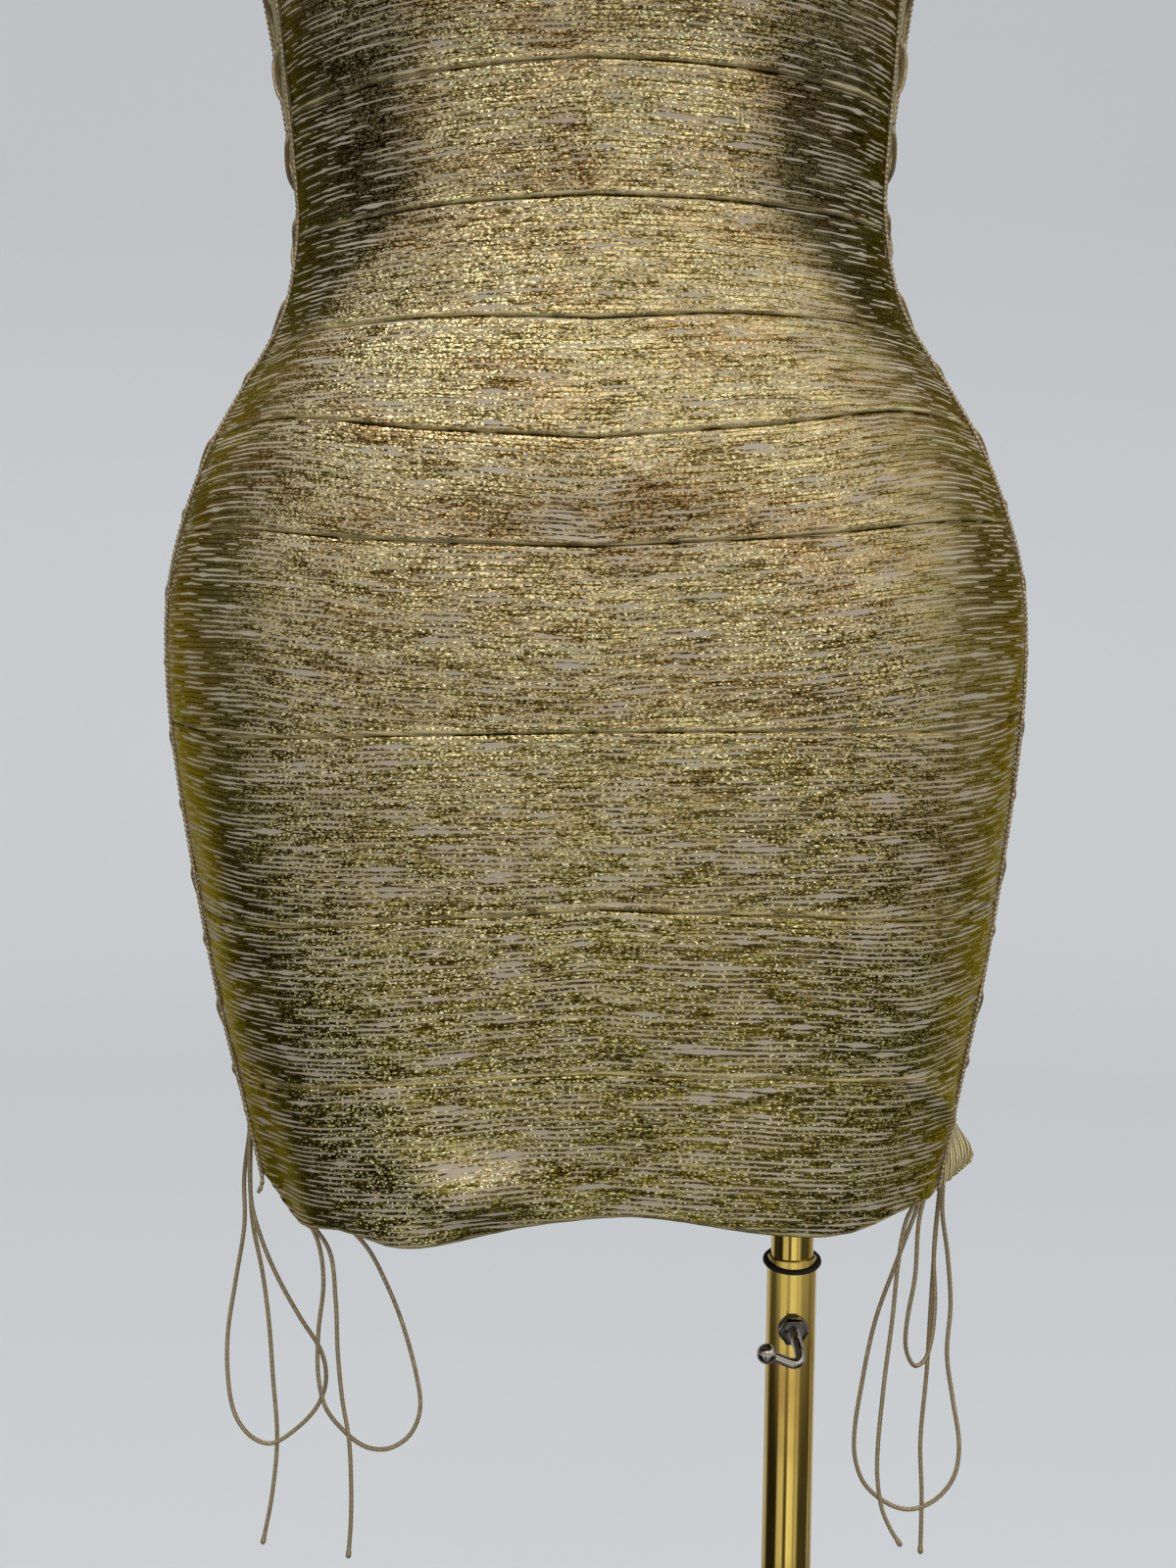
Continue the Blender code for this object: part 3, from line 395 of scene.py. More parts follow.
def side_angle(side, level, distance):
    """Angles at a distance behind the front panel's side edge; side is -1 left, +1 right."""
    level = np.asarray(level, float)
    edge = np.radians(figure_size(EDGE, level_height(level, radians(80) + 0 * level)))
    return angle_beyond(side * edge, level, side * np.asarray(distance))


def side_points(side, level, distance, out):
    return dress_points(side_angle(side, level, distance), np.asarray(level, float), out)


def one(points):
    return Vector(np.asarray(points).reshape(-1, 3)[0])


def side_frames(side, levels, distance):
    """Places on a side of the dress, each with unit vectors outward and round to the back."""
    here = side_points(side, levels, distance, 0.0)
    out = side_points(side, levels, distance, 0.001) - here
    back = side_points(side, levels, distance + 0.002, 0.0) - here
    frames = []
    for place, away, behind in zip(here, out, back):
        away, behind = Vector(away).normalized(), Vector(behind)
        behind = (behind - away * behind.dot(away)).normalized()
        frames.append((Vector(place), away, behind))
    return frames


# ---- making meshes -------------------------------------------------------------------------------
def finish_piece(name, data, materials, body, stands_for=()):
    """Put finished data in the scene at the origin, on its body, in place of its solids."""
    piece = bpy.data.objects.new(name, data)
    bpy.context.scene.collection.objects.link(piece)
    for finish in materials:
        data.materials.append(finish)
    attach(piece, body)
    if stands_for:
        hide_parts(*stands_for)
    return piece


def mesh_from(name, bm, sharp=None):
    mesh = bpy.data.meshes.new(name)
    bm.to_mesh(mesh)
    bm.free()
    mesh.shade_smooth()
    if sharp:
        mesh.set_sharp_from_angle(angle=radians(sharp))
    return mesh


def eased(share, pinch):
    """Evenly rising shares made closer together at both ends."""
    return share - pinch * np.sin(2 * pi * share) / (2 * pi)


def shaped_grid(columns, rows, place):
    """A flat grid with every point moved to where `place` puts it.

    place takes the shares across and down as arrays and gives points. The UV map "cloth" holds
    metres along and down the piece, measured from its middle column and its first row. The UV
    map "edges" holds how far each point is from the first row and from the last.
    """
    bm = bmesh.new()
    bmesh.ops.create_grid(bm, x_segments=columns, y_segments=rows, size=0.5)
    flat = np.array([vertex.co for vertex in bm.verts])
    i = np.rint((flat[:, 0] + 0.5) * columns).astype(int)
    j = np.rint((0.5 - flat[:, 1]) * rows).astype(int)
    across, down = np.meshgrid(np.arange(columns + 1) / columns, np.arange(rows + 1) / rows)
    points = place(across, down)
    along = np.zeros(across.shape)
    along[:, 1:] = np.cumsum(np.linalg.norm(np.diff(points, axis=1), axis=-1), axis=1)
    along -= along[:, columns // 2:columns // 2 + 1]
    fall = np.zeros(across.shape)
    fall[1:] = np.cumsum(np.linalg.norm(np.diff(points, axis=0), axis=-1), axis=0)
    for vertex, a, b in zip(bm.verts, i, j):
        vertex.co = points[b, a]
    cloth, edges = bm.loops.layers.uv.new("cloth"), bm.loops.layers.uv.new("edges")
    for face in bm.faces:
        for loop in face.loops:
            a, b = i[loop.vert.index], j[loop.vert.index]
            loop[cloth].uv = (along[b, a], -fall[b, a])
            loop[edges].uv = (fall[b, a], fall[-1, a] - fall[b, a])
    return bm


def turn_outward(bm, inside):
    """Turn an open sheet's faces over if they look toward a point that is inside it."""
    bm.normal_update()
    bm.faces.ensure_lookup_table()
    middle = bm.faces[len(bm.faces) // 2]
    if middle.normal.dot(middle.calc_center_median() - inside) < 0:
        bmesh.ops.reverse_faces(bm, faces=bm.faces)


def thicken(piece, thickness):
    """Give a sheet its thickness, inward from its outer face."""
    wall = piece.modifiers.new("thickness", "SOLIDIFY")
    wall.thickness = thickness
    wall.offset = -1.0
    wall.use_even_offset = False
    return wall


def distances(points):
    """How far each point of a line is from its start, along the line."""
    return np.concatenate([[0.0], np.cumsum(np.linalg.norm(np.diff(points, axis=0), axis=1))])


def between(points, travelled, at):
    """Places on a line at some distances from its start."""
    return np.stack([np.interp(at, travelled, points[:, axis]) for axis in range(3)], axis=-1)


def evenly(points, step):
    """Even points about `step` apart on a smooth curve through a route's own points."""
    points = np.asarray([tuple(point) for point in points], float)
    travelled = distances(points)
    fine = np.linspace(0, travelled[-1], 12 * len(points))
    curve = np.stack([smooth(travelled, points[:, axis], fine) for axis in range(3)], axis=-1)
    travelled = distances(curve)
    count = max(4, round(travelled[-1] / step))
    even = np.linspace(0, travelled[-1], count + 1)
    return between(curve, travelled, even)


def tube(line, radius, sides, lobes=0, lobe_depth=0.0, pitch=0.005, flatten=1.0, face=None):
    """Round or twisted cord along a line of points, closed at both ends.

    radius is one size or one for each point. The section's lobes turn once in each pitch, as laid
    strands do. A flattened cord is thinner toward `face`, an outward vector for each point.
    """
    line = np.asarray(line, float)
    count = len(line)
    ahead = np.gradient(line, axis=0)
    ahead /= np.linalg.norm(ahead, axis=1, keepdims=True)
    upper = np.zeros_like(line)
    lead = np.array(face[0] if face is not None else (0.31, 0.87, 0.38))
    for k in range(count):
        lead = np.array(face[k]) if face is not None else lead
        lead = lead - ahead[k] * (lead @ ahead[k])
        lead /= np.linalg.norm(lead)
        upper[k] = lead
    lower = np.cross(ahead, upper)
    travelled = distances(line)
    sizes = np.broadcast_to(radius, (count,))

    def place(across, down):
        k = np.rint(down * (count - 1)).astype(int)
        turn = 2 * pi * across
        twist = 2 * pi * travelled[k] / pitch
        size = sizes[k] * (1 - lobe_depth + lobe_depth * np.cos(lobes * (turn - twist)))
        return line[k] + ((size * np.cos(turn) * flatten)[..., None] * upper[k]
                          + (size * np.sin(turn))[..., None] * lower[k])

    bm = shaped_grid(sides, count - 1, place)
    bmesh.ops.remove_doubles(bm, verts=bm.verts, dist=1e-7)
    bmesh.ops.holes_fill(bm, edges=bm.edges, sides=sides)
    bmesh.ops.recalc_face_normals(bm, faces=bm.faces)
    return bm


def turned(profile, sides, ring=False):
    """Round piece about the Z axis, spun from (radius, height) corners."""
    bm = bmesh.new()
    corners = [bm.verts.new((radius, 0.0, height)) for radius, height in profile]
    edges = [bm.edges.new(pair) for pair in zip(corners, corners[1:])]
    if ring:
        edges.append(bm.edges.new((corners[-1], corners[0])))
    bmesh.ops.spin(bm, geom=corners + edges, axis=(0, 0, 1), cent=(0, 0, 0), angle=2 * pi,
                   steps=sides, use_merge=True)
    bmesh.ops.remove_doubles(bm, verts=bm.verts, dist=1e-7)
    bmesh.ops.recalc_face_normals(bm, faces=bm.faces)
    return bm


def add_in(bm, part, matrix):
    """Put one bmesh's shape into another, moved by a matrix."""
    bmesh.ops.transform(part, matrix=matrix, verts=part.verts)
    carrier = bpy.data.meshes.new("carrier")
    part.to_mesh(carrier)
    part.free()
    bm.from_mesh(carrier)
    bpy.data.meshes.remove(carrier)


def frame_matrix(place, x, y, z):
    """Matrix that carries a shape's own axes to three unit vectors at a place."""
    return Matrix.Translation(place) @ Matrix((x, y, z)).transposed().to_4x4()


# ---- materials -----------------------------------------------------------------------------------
def add(tree, kind, links=None, **settings):
    """Add a node. `links` gives inputs their values, or the sockets that they come from."""
    made = tree.nodes.new("ShaderNode" + kind)
    for name, value in settings.items():
        setattr(made, name, value)
    connect(tree, made, links or {})
    return made


def connect(tree, node, links):
    """Give a node's inputs their values, or the sockets that they come from."""
    for key, value in links.items():
        if isinstance(value, bpy.types.NodeSocket):
            tree.links.new(value, node.inputs[key])
        else:
            node.inputs[key].default_value = value


def ramped(tree, value, stops):
    """A value turned into a colour by (place, colour) stops; a number is taken as a grey."""
    made = add(tree, "ValToRGB", {0: value})
    points = made.color_ramp.elements
    while len(points) < len(stops):
        points.new(1.0)
    for point, (place, colour) in zip(points, stops):
        point.position = place
        point.color = colour if isinstance(colour, tuple) else grey(colour)
    return made.outputs[0]


def noise(tree, place, scale, detail=2.0, roughness=0.5, flat=False):
    """Soft random values over a place. Flat ones vary in two directions only, as on cloth."""
    return add(tree, "TexNoise",
               {"Vector": place, "Scale": scale, "Detail": detail, "Roughness": roughness},
               noise_dimensions="2D" if flat else "3D").outputs[0]


def scaled(tree, vector, *factors):
    """A vector with each of its parts multiplied by a factor."""
    return add(tree, "VectorMath", {0: vector, 1: factors}, operation="MULTIPLY").outputs[0]


def split(tree, vector):
    """The three numbers in a vector."""
    return add(tree, "SeparateXYZ", {0: vector}).outputs


def off_half(tree, value):
    """How far a share is from a half."""
    return calc(tree, "ABSOLUTE", calc(tree, "SUBTRACT", value, 0.5))


def on_patch(tree, along, half_width, height, low, high, outer, inner):
    """1 inside an oval patch and 0 outside it, as wide and high as given, with a soft edge."""
    side = calc(tree, "DIVIDE", along, half_width)
    rise = mapped(tree, height, low, high, -1.0, 1.0, clamp=False)
    far = add(tree, "VectorMath", {0: joined(tree, side, rise)}, operation="LENGTH")
    return mapped(tree, far.outputs["Value"], outer, inner, soft=True)


def calc(tree, operation, *values, clamp=False):
    """The result of a sum."""
    return add(tree, "Math", dict(enumerate(values)), operation=operation, use_clamp=clamp).outputs[0]


def mapped(tree, value, low, high, to_low=0.0, to_high=1.0, soft=False, clamp=True):
    """A value carried from one range to another, and held inside it unless clamp is off."""
    return add(tree, "MapRange",
               {"Value": value, "From Min": low, "From Max": high, "To Min": to_low, "To Max": to_high},
               clamp=clamp, interpolation_type="SMOOTHSTEP" if soft else "LINEAR").outputs[0]


def mixed(tree, factor, a, b, blend_type="MIX"):
    """One colour turned into another by a factor."""
    return add(tree, "Mix", {"Factor": factor, "A": a, "B": b}, data_type="RGBA",
               blend_type=blend_type).outputs["Result"]


def times(tree, a, b):
    """Two colours multiplied."""
    return mixed(tree, 1.0, a, b, "MULTIPLY")


def joined(tree, *parts):
    """Numbers put together as a vector."""
    return add(tree, "CombineXYZ", dict(enumerate(parts))).outputs[0]


def new_material(name, **constants):
    """Material with a Principled shader, whose constant values are set on its own sockets."""
    made = bpy.data.materials.new(name)
    made.use_nodes = True
    tree = made.node_tree
    tree.nodes.clear()
    shader = add(tree, "BsdfPrincipled",
                 {key.replace("_", " "): value for key, value in constants.items()})
    add(tree, "OutputMaterial", {"Surface": shader.outputs[0]})
    return made, tree, shader


def grey(value):
    return (value, value, value, 1.0)


def foil_knit(foil, knit):
    """Bandage knit printed with gold foil, which cracks along the rows as the cloth is stretched.

    Heavy viscose knit under a hot-pressed metallic film. The film mirrors the room in soft upright
    bands, because the knit's rows scatter it up and down. It has cracked into long dashes, with the
    dull knit between them, and every stitch of it tilts its own way and glitters. Light and shade
    are also painted into its colour: glints on single stitches, shade in the grooves between the
    ribs, round the waist's sides, lower down and round the sides, a dark reflection over the belly,
    and pale highlights on the seams' rolled edges and on a fold at the hem.
    """
    made, tree, shader = new_material("gold_foil_bandage_knit", Anisotropic=0.55,
                                      Specular_Tint=(0.80, 0.70, 0.34, 1.0))
    uv = add(tree, "UVMap", uv_map="cloth")
    mm = scaled(tree, uv.outputs[0], 1000.0, 1000.0, 1000.0)
    place = add(tree, "TexCoord")
    height = split(tree, place.outputs["Object"])
    around = split(tree, mm)

    # The knit's ribs, 2 mm apart, wander a little up and down along the band.
    drift_place = scaled(tree, mm, 1 / 50, 1 / 26, 1)
    drift = noise(tree, drift_place, 1.0, 1.0, flat=True)
    rib, wander = 2.0, 2.0
    wandering = calc(tree, "MULTIPLY_ADD", drift, wander, around[1])
    rows = calc(tree, "DIVIDE", wandering, rib)
    row = calc(tree, "FLOOR", rows)
    off_row = off_half(tree, calc(tree, "FRACT", rows))

    # Each row's film breaks on its own into dashes 6 to 50 mm long, which taper at their ends.
    along_row = calc(tree, "DIVIDE", around[0], 24.0)
    own_row = calc(tree, "MULTIPLY", row, 5.37)
    row_place = joined(tree, along_row, own_row)
    breaks = noise(tree, row_place, 1.0, 2.0, 0.58, flat=True)
    patch_place = scaled(tree, mm, 1 / 24, 1 / 6.0, 1)
    patches = noise(tree, patch_place, 1.0, 2.5, 0.62, flat=True)
    # Both panels' maps are measured from their own middles.
    half_apart = MAP_APART / 2 * 1000
    from_middle = calc(tree, "WRAP", around[0], half_apart, -half_apart)
    off_middle = calc(tree, "ABSOLUTE", from_middle)
    lower_down = mapped(tree, height[2], 1.02, 0.76, -0.012, 0.030)
    patchy = mapped(tree, off_middle, 150.0, 95.0, 0.06, 0.34)
    patch_part = calc(tree, "SUBTRACT", patches, 0.5)
    more = calc(tree, "MULTIPLY_ADD", patch_part, patchy, lower_down)
    # Painted highlight on the fold at the hem's left: over a patch at its top the film is made barer and
    # paler, where the fold faces the light.
    off_fold = calc(tree, "ADD", around[0], 43.0)
    painted_fold_highlight = on_patch(tree, off_fold, 24.0, height[2], 0.725, 0.747, 1.2, 0.2)
    patch_wear_and_fold_highlight = calc(tree, "MULTIPLY_ADD", painted_fold_highlight, 0.09, more)
    dash_wear_and_fold_highlight = calc(tree, "ADD", breaks, patch_wear_and_fold_highlight)
    half = ramped(tree, dash_wear_and_fold_highlight,
                  [(0.0, 0.0), (0.462, 0.0), (0.48, 0.10), (0.60, 0.19), (0.70, 0.30), (0.80, 0.62)])
    inside = calc(tree, "SUBTRACT", half, off_row)
    dashes = mapped(tree, inside, -0.02, 0.05, soft=True)
    some_wear = calc(tree, "GREATER_THAN", half, 0.02)
    on_flat = calc(tree, "MULTIPLY", dashes, some_wear)

    # The rolled edge above each seam, and the hem's, has lost most of its film, and its bare knit is
    # painted pale gold there as a highlight along the roll.
    edge_uv = add(tree, "UVMap", uv_map="edges")
    edge_parts = split(tree, edge_uv.outputs[0])
    on_roll = mapped(tree, edge_parts[1], 0.0026, 0.0011, 0.0, 1.0)
    rubbed_and_highlit_roll = calc(tree, "MULTIPLY", on_roll, breaks)
    bare = calc(tree, "ADD", on_flat, rubbed_and_highlit_roll, clamp=True)

    # Stitches, 0.8 mm wide and 0.5 mm high: every one tilts its own way, and has its own tone.
    stitches_in_rib, stitch_width = 4.0, 0.80
    fine_rows = calc(tree, "MULTIPLY", rows, stitches_in_rib)
    fine_row = calc(tree, "FLOOR", fine_rows)
    across_row = calc(tree, "DIVIDE", around[0], stitch_width)
    staggered = calc(tree, "MULTIPLY_ADD", fine_row, 0.37, across_row)
    stitch = calc(tree, "FLOOR", staggered)
    cell = joined(tree, stitch, fine_row)
    chance = add(tree, "TexWhiteNoise", {"Vector": cell}, noise_dimensions="2D")
    tilt = add(tree, "SeparateColor", {0: chance.outputs["Color"]})
    row_gap = off_half(tree, calc(tree, "FRACT", fine_rows))

    # The film is crazed where the knit is stretched most, and smooth round the sides, where it is also
    # painted a darker olive as shade and loses its painted glints.
    crazing_and_painted_light = mapped(tree, off_middle, 172.0, 100.0, 0.22, 1.0, soft=True)
    streak_place = calc(tree, "DIVIDE", around[0], 17.0)
    streak_row = calc(tree, "MULTIPLY", fine_row, 3.71)
    streak_at = joined(tree, streak_place, streak_row)
    streaks = noise(tree, streak_at, 1.0, 2.0, flat=True)
    cloud_place = scaled(tree, mm, 1 / 55, 1 / 22, 1)
    clouds = noise(tree, cloud_place, 1.0, 3.0, flat=True)
    high_up = mapped(tree, height[2], 0.79, 0.98)
    warm = mapped(tree, clouds, 0.45, 0.68, 0.0, 0.8)
    warm_high = calc(tree, "MULTIPLY", warm, high_up)
    # Painted reflection over the belly: the stitches there are tinted brown and the film is darkened.
    # Higher up, soft clouds tint some stitches warm brown as well.
    painted_belly_reflection = on_patch(tree, around[0], 80.0, height[2], 0.952, 1.008, 1.25, 0.1)
    warm_clouds_and_belly_reflection = calc(tree, "MULTIPLY_ADD", painted_belly_reflection, 0.45, warm_high, clamp=True)
    warm_and_reflected_stitch = calc(tree, "MULTIPLY", warm_clouds_and_belly_reflection, tilt.outputs[2])
    # Painted shade: lower down the film is tinted a darker olive, and round the sides a darker one still;
    # higher up, and on the fold's painted highlight, it keeps the pale foil colour.
    painted_paleness = calc(tree, "ADD", painted_fold_highlight, high_up, clamp=True)
    tint = mixed(tree, painted_paleness, linear("#AC9E4C"), foil)
    side_shaded_tint = mixed(tree, crazing_and_painted_light, linear("#98872A"), tint)
    # Painted glints: some stitches are painted a pale bright gold, except round the sides.
    glinting_stitches = mapped(tree, chance.outputs["Value"], 0.72, 0.86, 0.0, 0.9)
    painted_glints = calc(tree, "MULTIPLY", glinting_stitches, crazing_and_painted_light)
    bright = mixed(tree, painted_glints, side_shaded_tint, linear("#F7EAB4"))
    warmed = mixed(tree, warm_and_reflected_stitch, bright, linear("#A8703C"))
    # Painted glints: each stitch's tone, with streaks along the rows and darker worn patches, sets how
    # bright it is painted, up to brighter than white; round the sides an even grey takes its place.
    lively = calc(tree, "MULTIPLY", chance.outputs["Value"], 0.62)
    streaked = calc(tree, "MULTIPLY_ADD", streaks, 0.80, lively)
    tone = calc(tree, "MULTIPLY_ADD", patch_part, -0.9, streaked)
    painted_glint = ramped(tree, tone,
                   [(0.32, (0.15, 0.12, 0.05, 1)), (0.55, (0.40, 0.36, 0.22, 1)),
                    (0.78, (0.84, 0.82, 0.74, 1)), (0.95, 1.2)])
    # A fine groove runs along between the ribs, and the film in it is darkened as painted shade.
    groove = mapped(tree, off_row, 0.08, 0.17, 0.30, 1.0)
    painted_glitter = mixed(tree, crazing_and_painted_light, grey(0.72), painted_glint)
    smooth_film = times(tree, warmed, painted_glitter)
    # Painted shade round the waist's sides: past a line that draws in toward the middle higher up, the film
    # is darkened, most around the waist, and over the belly it is darkened for the painted reflection
    # there.
    waist_edge = mapped(tree, height[2], 1.03, 1.10, 128.0, 56.0)
    past_edge = calc(tree, "SUBTRACT", off_middle, waist_edge)
    waist_share = mapped(tree, height[2], 1.0, 1.3)
    darkest_waist_shade = ramped(tree, waist_share, [(0.05, 1.0), (0.183, 0.22), (0.50, 0.22), (0.76, 0.90)])
    waist_side_shade = mapped(tree, past_edge, -3.0, 25.0, 1.0, darkest_waist_shade, soft=True)
    waist_and_belly_shade = calc(tree, "MULTIPLY_ADD", painted_belly_reflection, -0.42, waist_side_shade, clamp=True)
    painted_film_shade = calc(tree, "MULTIPLY", groove, waist_and_belly_shade)
    film = times(tree, smooth_film, painted_film_shade)

    # Bare knit: rows of pale yarn with darker gaps between them.
    yarn = mapped(tree, row_gap, 0.2, 0.5, 1.06, 0.78)
    # Painted highlight: on the rolled edges the bare knit is painted pale gold.
    painted_roll_highlight = mixed(tree, on_roll, knit, linear("#E9D898"))
    thread = times(tree, painted_roll_highlight, yarn)
    colour = mixed(tree, bare, film, thread)
    rough = add(tree, "Mix", {"Factor": bare, "A": 0.27, "B": 0.78})
    metal = calc(tree, "SUBTRACT", 1.0, bare)

    # Relief: the stitches' own tilts, the ribs of the rows, and the film a hair above the knit.
    lean = mixed(tree, 0.28, (0.5, 0.5, 1.0, 1.0), chance.outputs["Color"])
    lean_parts = add(tree, "SeparateColor", {0: lean})
    lean_up = add(tree, "CombineColor", {0: lean_parts.outputs[0], 1: lean_parts.outputs[1], 2: 1.0})
    film_lean = calc(tree, "MULTIPLY", metal, crazing_and_painted_light)
    facets = add(tree, "NormalMap", {"Strength": film_lean, "Color": lean_up.outputs[0]},
                 uv_map="cloth")
    ribbed = calc(tree, "MULTIPLY_ADD", bare, -0.3, off_row)
    bump = add(tree, "Bump",
               {"Strength": 0.35, "Distance": 0.00016, "Height": ribbed, "Normal": facets.outputs[0]})
    grain = add(tree, "Tangent", direction_type="UV_MAP", uv_map="cloth")
    connect(tree, shader,
            {"Base Color": colour, "Metallic": metal, "Roughness": rough.outputs["Result"],
             "Normal": bump.outputs[0], "Tangent": grain.outputs[0]})
    return made


def lurex_cord(name, colour, dark, scale):
    """Twisted lurex and rayon yarn, as on braids and laces.

    Fine metallised strips are laid in with dull yarn, so it is satiny, with small bright points
    along the turns and dark grooves between them.
    """
    made, tree, shader = new_material(name, Anisotropic=0.3)
    place = add(tree, "TexCoord")
    specks = noise(tree, place.outputs["Object"], scale, 2.0, 0.6)
    shade = mapped(tree, specks, 0.35, 0.62)
    tone = mixed(tree, shade, dark, colour)
    gloss = mapped(tree, specks, 0.4, 0.65, 0.55, 0.28)
    metal = mapped(tree, specks, 0.42, 0.56, 0.15, 0.85)
    bump = add(tree, "Bump", {"Strength": 0.4, "Distance": 0.0002, "Height": specks})
    connect(tree, shader,
            {"Base Color": tone, "Roughness": gloss, "Metallic": metal, "Normal": bump.outputs[0]})
    return made


def ribbed_tape(colour):
    """Woven lurex ribbon with ribs along it, 1.6 mm apart.

    Gold strips float over a taupe ground. The ribs are painted pale as highlights in fine upright lines,
    and the hollows between them are dull and painted darker as shade.
    """
    made, tree, shader = new_material("lurex_eyelet_tape", Anisotropic=0.4)
    uv = add(tree, "UVMap", uv_map="cloth")
    mm = scaled(tree, uv.outputs[0], 1000.0, 1000.0, 1000.0)
    ribs = add(tree, "TexWave",
               {"Vector": mm, "Scale": 2 * pi / 20 / 1.6, "Distortion": 0.6, "Detail": 1.0},
               wave_type="BANDS", bands_direction="X", wave_profile="SIN")
    weft = add(tree, "TexWave", {"Vector": mm, "Scale": 2 * pi / 20 / 0.8, "Distortion": 0.4},
               wave_type="BANDS", bands_direction="Y", wave_profile="SIN")
    specks = noise(tree, mm, 1.4, 2.0, flat=True)
    cover = calc(tree, "MULTIPLY", ribs.outputs["Fac"], specks)
    shine = mapped(tree, cover, 0.08, 0.34)
    # Painted shade in the hollows between the ribs, and a painted highlight on them.
    tone = mixed(tree, shine, linear("#5E5240"), colour)
    painted_rib_highlight = mixed(tree, shine, tone, linear("#F7E8B0"))
    metal = mapped(tree, shine, 0.0, 1.0, 0.05, 0.25)
    gloss = mapped(tree, shine, 0.0, 1.0, 0.75, 0.36)
    weave = calc(tree, "MULTIPLY_ADD", weft.outputs["Fac"], 0.18, ribs.outputs["Fac"])
    bump = add(tree, "Bump", {"Strength": 0.7, "Distance": 0.0003, "Height": weave})
    connect(tree, shader,
            {"Base Color": painted_rib_highlight, "Roughness": gloss, "Metallic": metal, "Normal": bump.outputs[0]})
    return made


def worked_metal(name, colour, worn, low, high, grain, stretch=(1.0, 1.0, 1.0), coat=0.0):
    """Drawn, turned or plated metal, with faint marks along its working direction.

    Its gloss wanders a little with handling marks and lacquer, so reflections break up softly.
    """
    made, tree, shader = new_material(name, Metallic=1.0, Coat_Weight=coat, Coat_Roughness=0.08)
    place = add(tree, "TexCoord")
    turned_to = add(tree, "Mapping", {"Vector": place.outputs["Object"], "Scale": stretch})
    marks = noise(tree, turned_to.outputs[0], grain, 4.0, 0.6)
    smudges = noise(tree, place.outputs["Object"], 24.0, 3.0)
    tone = mapped(tree, smudges, 0.45, 0.75)
    tint = mixed(tree, tone, colour, worn)
    both = calc(tree, "MULTIPLY", marks, smudges)
    gloss = mapped(tree, both, 0.12, 0.40, low, high)
    bump = add(tree, "Bump", {"Strength": 0.08, "Distance": 0.0001, "Height": marks})
    connect(tree, shader, {"Base Color": tint, "Roughness": gloss, "Normal": bump.outputs[0]})
    return made


def moulded(name, colour, second, low, high, grain, depth, **constants):
    """Paint, rubber or powder coat, with its fine orange-peel or moulded grain."""
    made, tree, shader = new_material(name, **constants)
    place = add(tree, "TexCoord")
    skin_grain = noise(tree, place.outputs["Object"], grain, 3.0)
    cloud = noise(tree, place.outputs["Object"], 9.0, 3.0)
    tint = mixed(tree, cloud, colour, second)
    gloss = mapped(tree, skin_grain, 0.3, 0.7, low, high)
    bump = add(tree, "Bump", {"Strength": 0.25, "Distance": depth, "Height": skin_grain})
    connect(tree, shader, {"Base Color": tint, "Roughness": gloss, "Normal": bump.outputs[0]})
    return made


# ---- the bands -----------------------------------------------------------------------------------
BAND_COLUMNS = 156
MAP_APART = 1.7             # between the middles of the two panels' places on the cloth's map
MAP_HIGHER = 3.1            # the back panel's place on the map is this much higher
ROW_STEP = 0.0021           # mean spacing of a band's rows of faces
ROW_PINCH, COLUMN_PINCH = 0.62, 0.45    # how much closer together the faces are at a band's edges
GROOVE_OVER = 0.0007        # widths of a seam's groove, over and under it
GROOVE_UNDER = 0.0005
ROLL_FROM_SEAM = 0.0014     # the rolled edge above a seam: its middle's distance, and its width
ROLL_WIDTH = 0.0009
BAND_FULLNESS = 0.0005      # how far a band's middle stands out between its seams
PANEL_WIDTH = 0.40          # about what a panel measures across, for its edges' tuck
EDGE_TUCK, EDGE_TUCK_WIDTH = 0.0007, 0.0016     # at a panel's side edges
HEM_TUCK, HEM_TUCK_WIDTH = 0.0010, 0.0008
TOP_TUCK, TOP_TUCK_WIDTH = 0.0010, 0.0010


def seam_relief(down, depth, above, below, settings):
    """How far the cloth stands out near a band's upper and lower edges."""
    from_top, from_bottom = down * depth, (1 - down) * depth
    out = -settings.seam_depth * above * bell(from_top, GROOVE_OVER)
    out = out + settings.seam_roll * below * bell(from_bottom - ROLL_FROM_SEAM, ROLL_WIDTH)
    return out - settings.seam_depth * below * bell(from_bottom, GROOVE_UNDER)


def crease_relief(angle, height):
    turn = np.degrees(angle)
    out = 0.0
    for crease in CREASES:
        off = turn - crease.angle
        rise = height - crease.height - crease.slope * off
        out = out + crease.depth * bell(off, crease.half_length) * bell(rise, crease.half_width)
    return out


def ripple_relief(angle, height, down, depth):
    """The knit's small unevenness: puckers along the seams, and slow waves between them."""
    near_seam = bell(down * depth, 0.006) + bell((1 - down) * depth, 0.006)
    puckers = np.sin(angle * 47 + height * 900) + np.sin(angle * 71 - height * 640) \
        + 0.7 * np.sin(angle * 113 + height * 300)
    waves = np.sin(angle * 9 + height * 61) + np.sin(angle * 15 - height * 38 + 1.3)
    return 0.00013 * near_seam * puckers + 0.00022 * waves


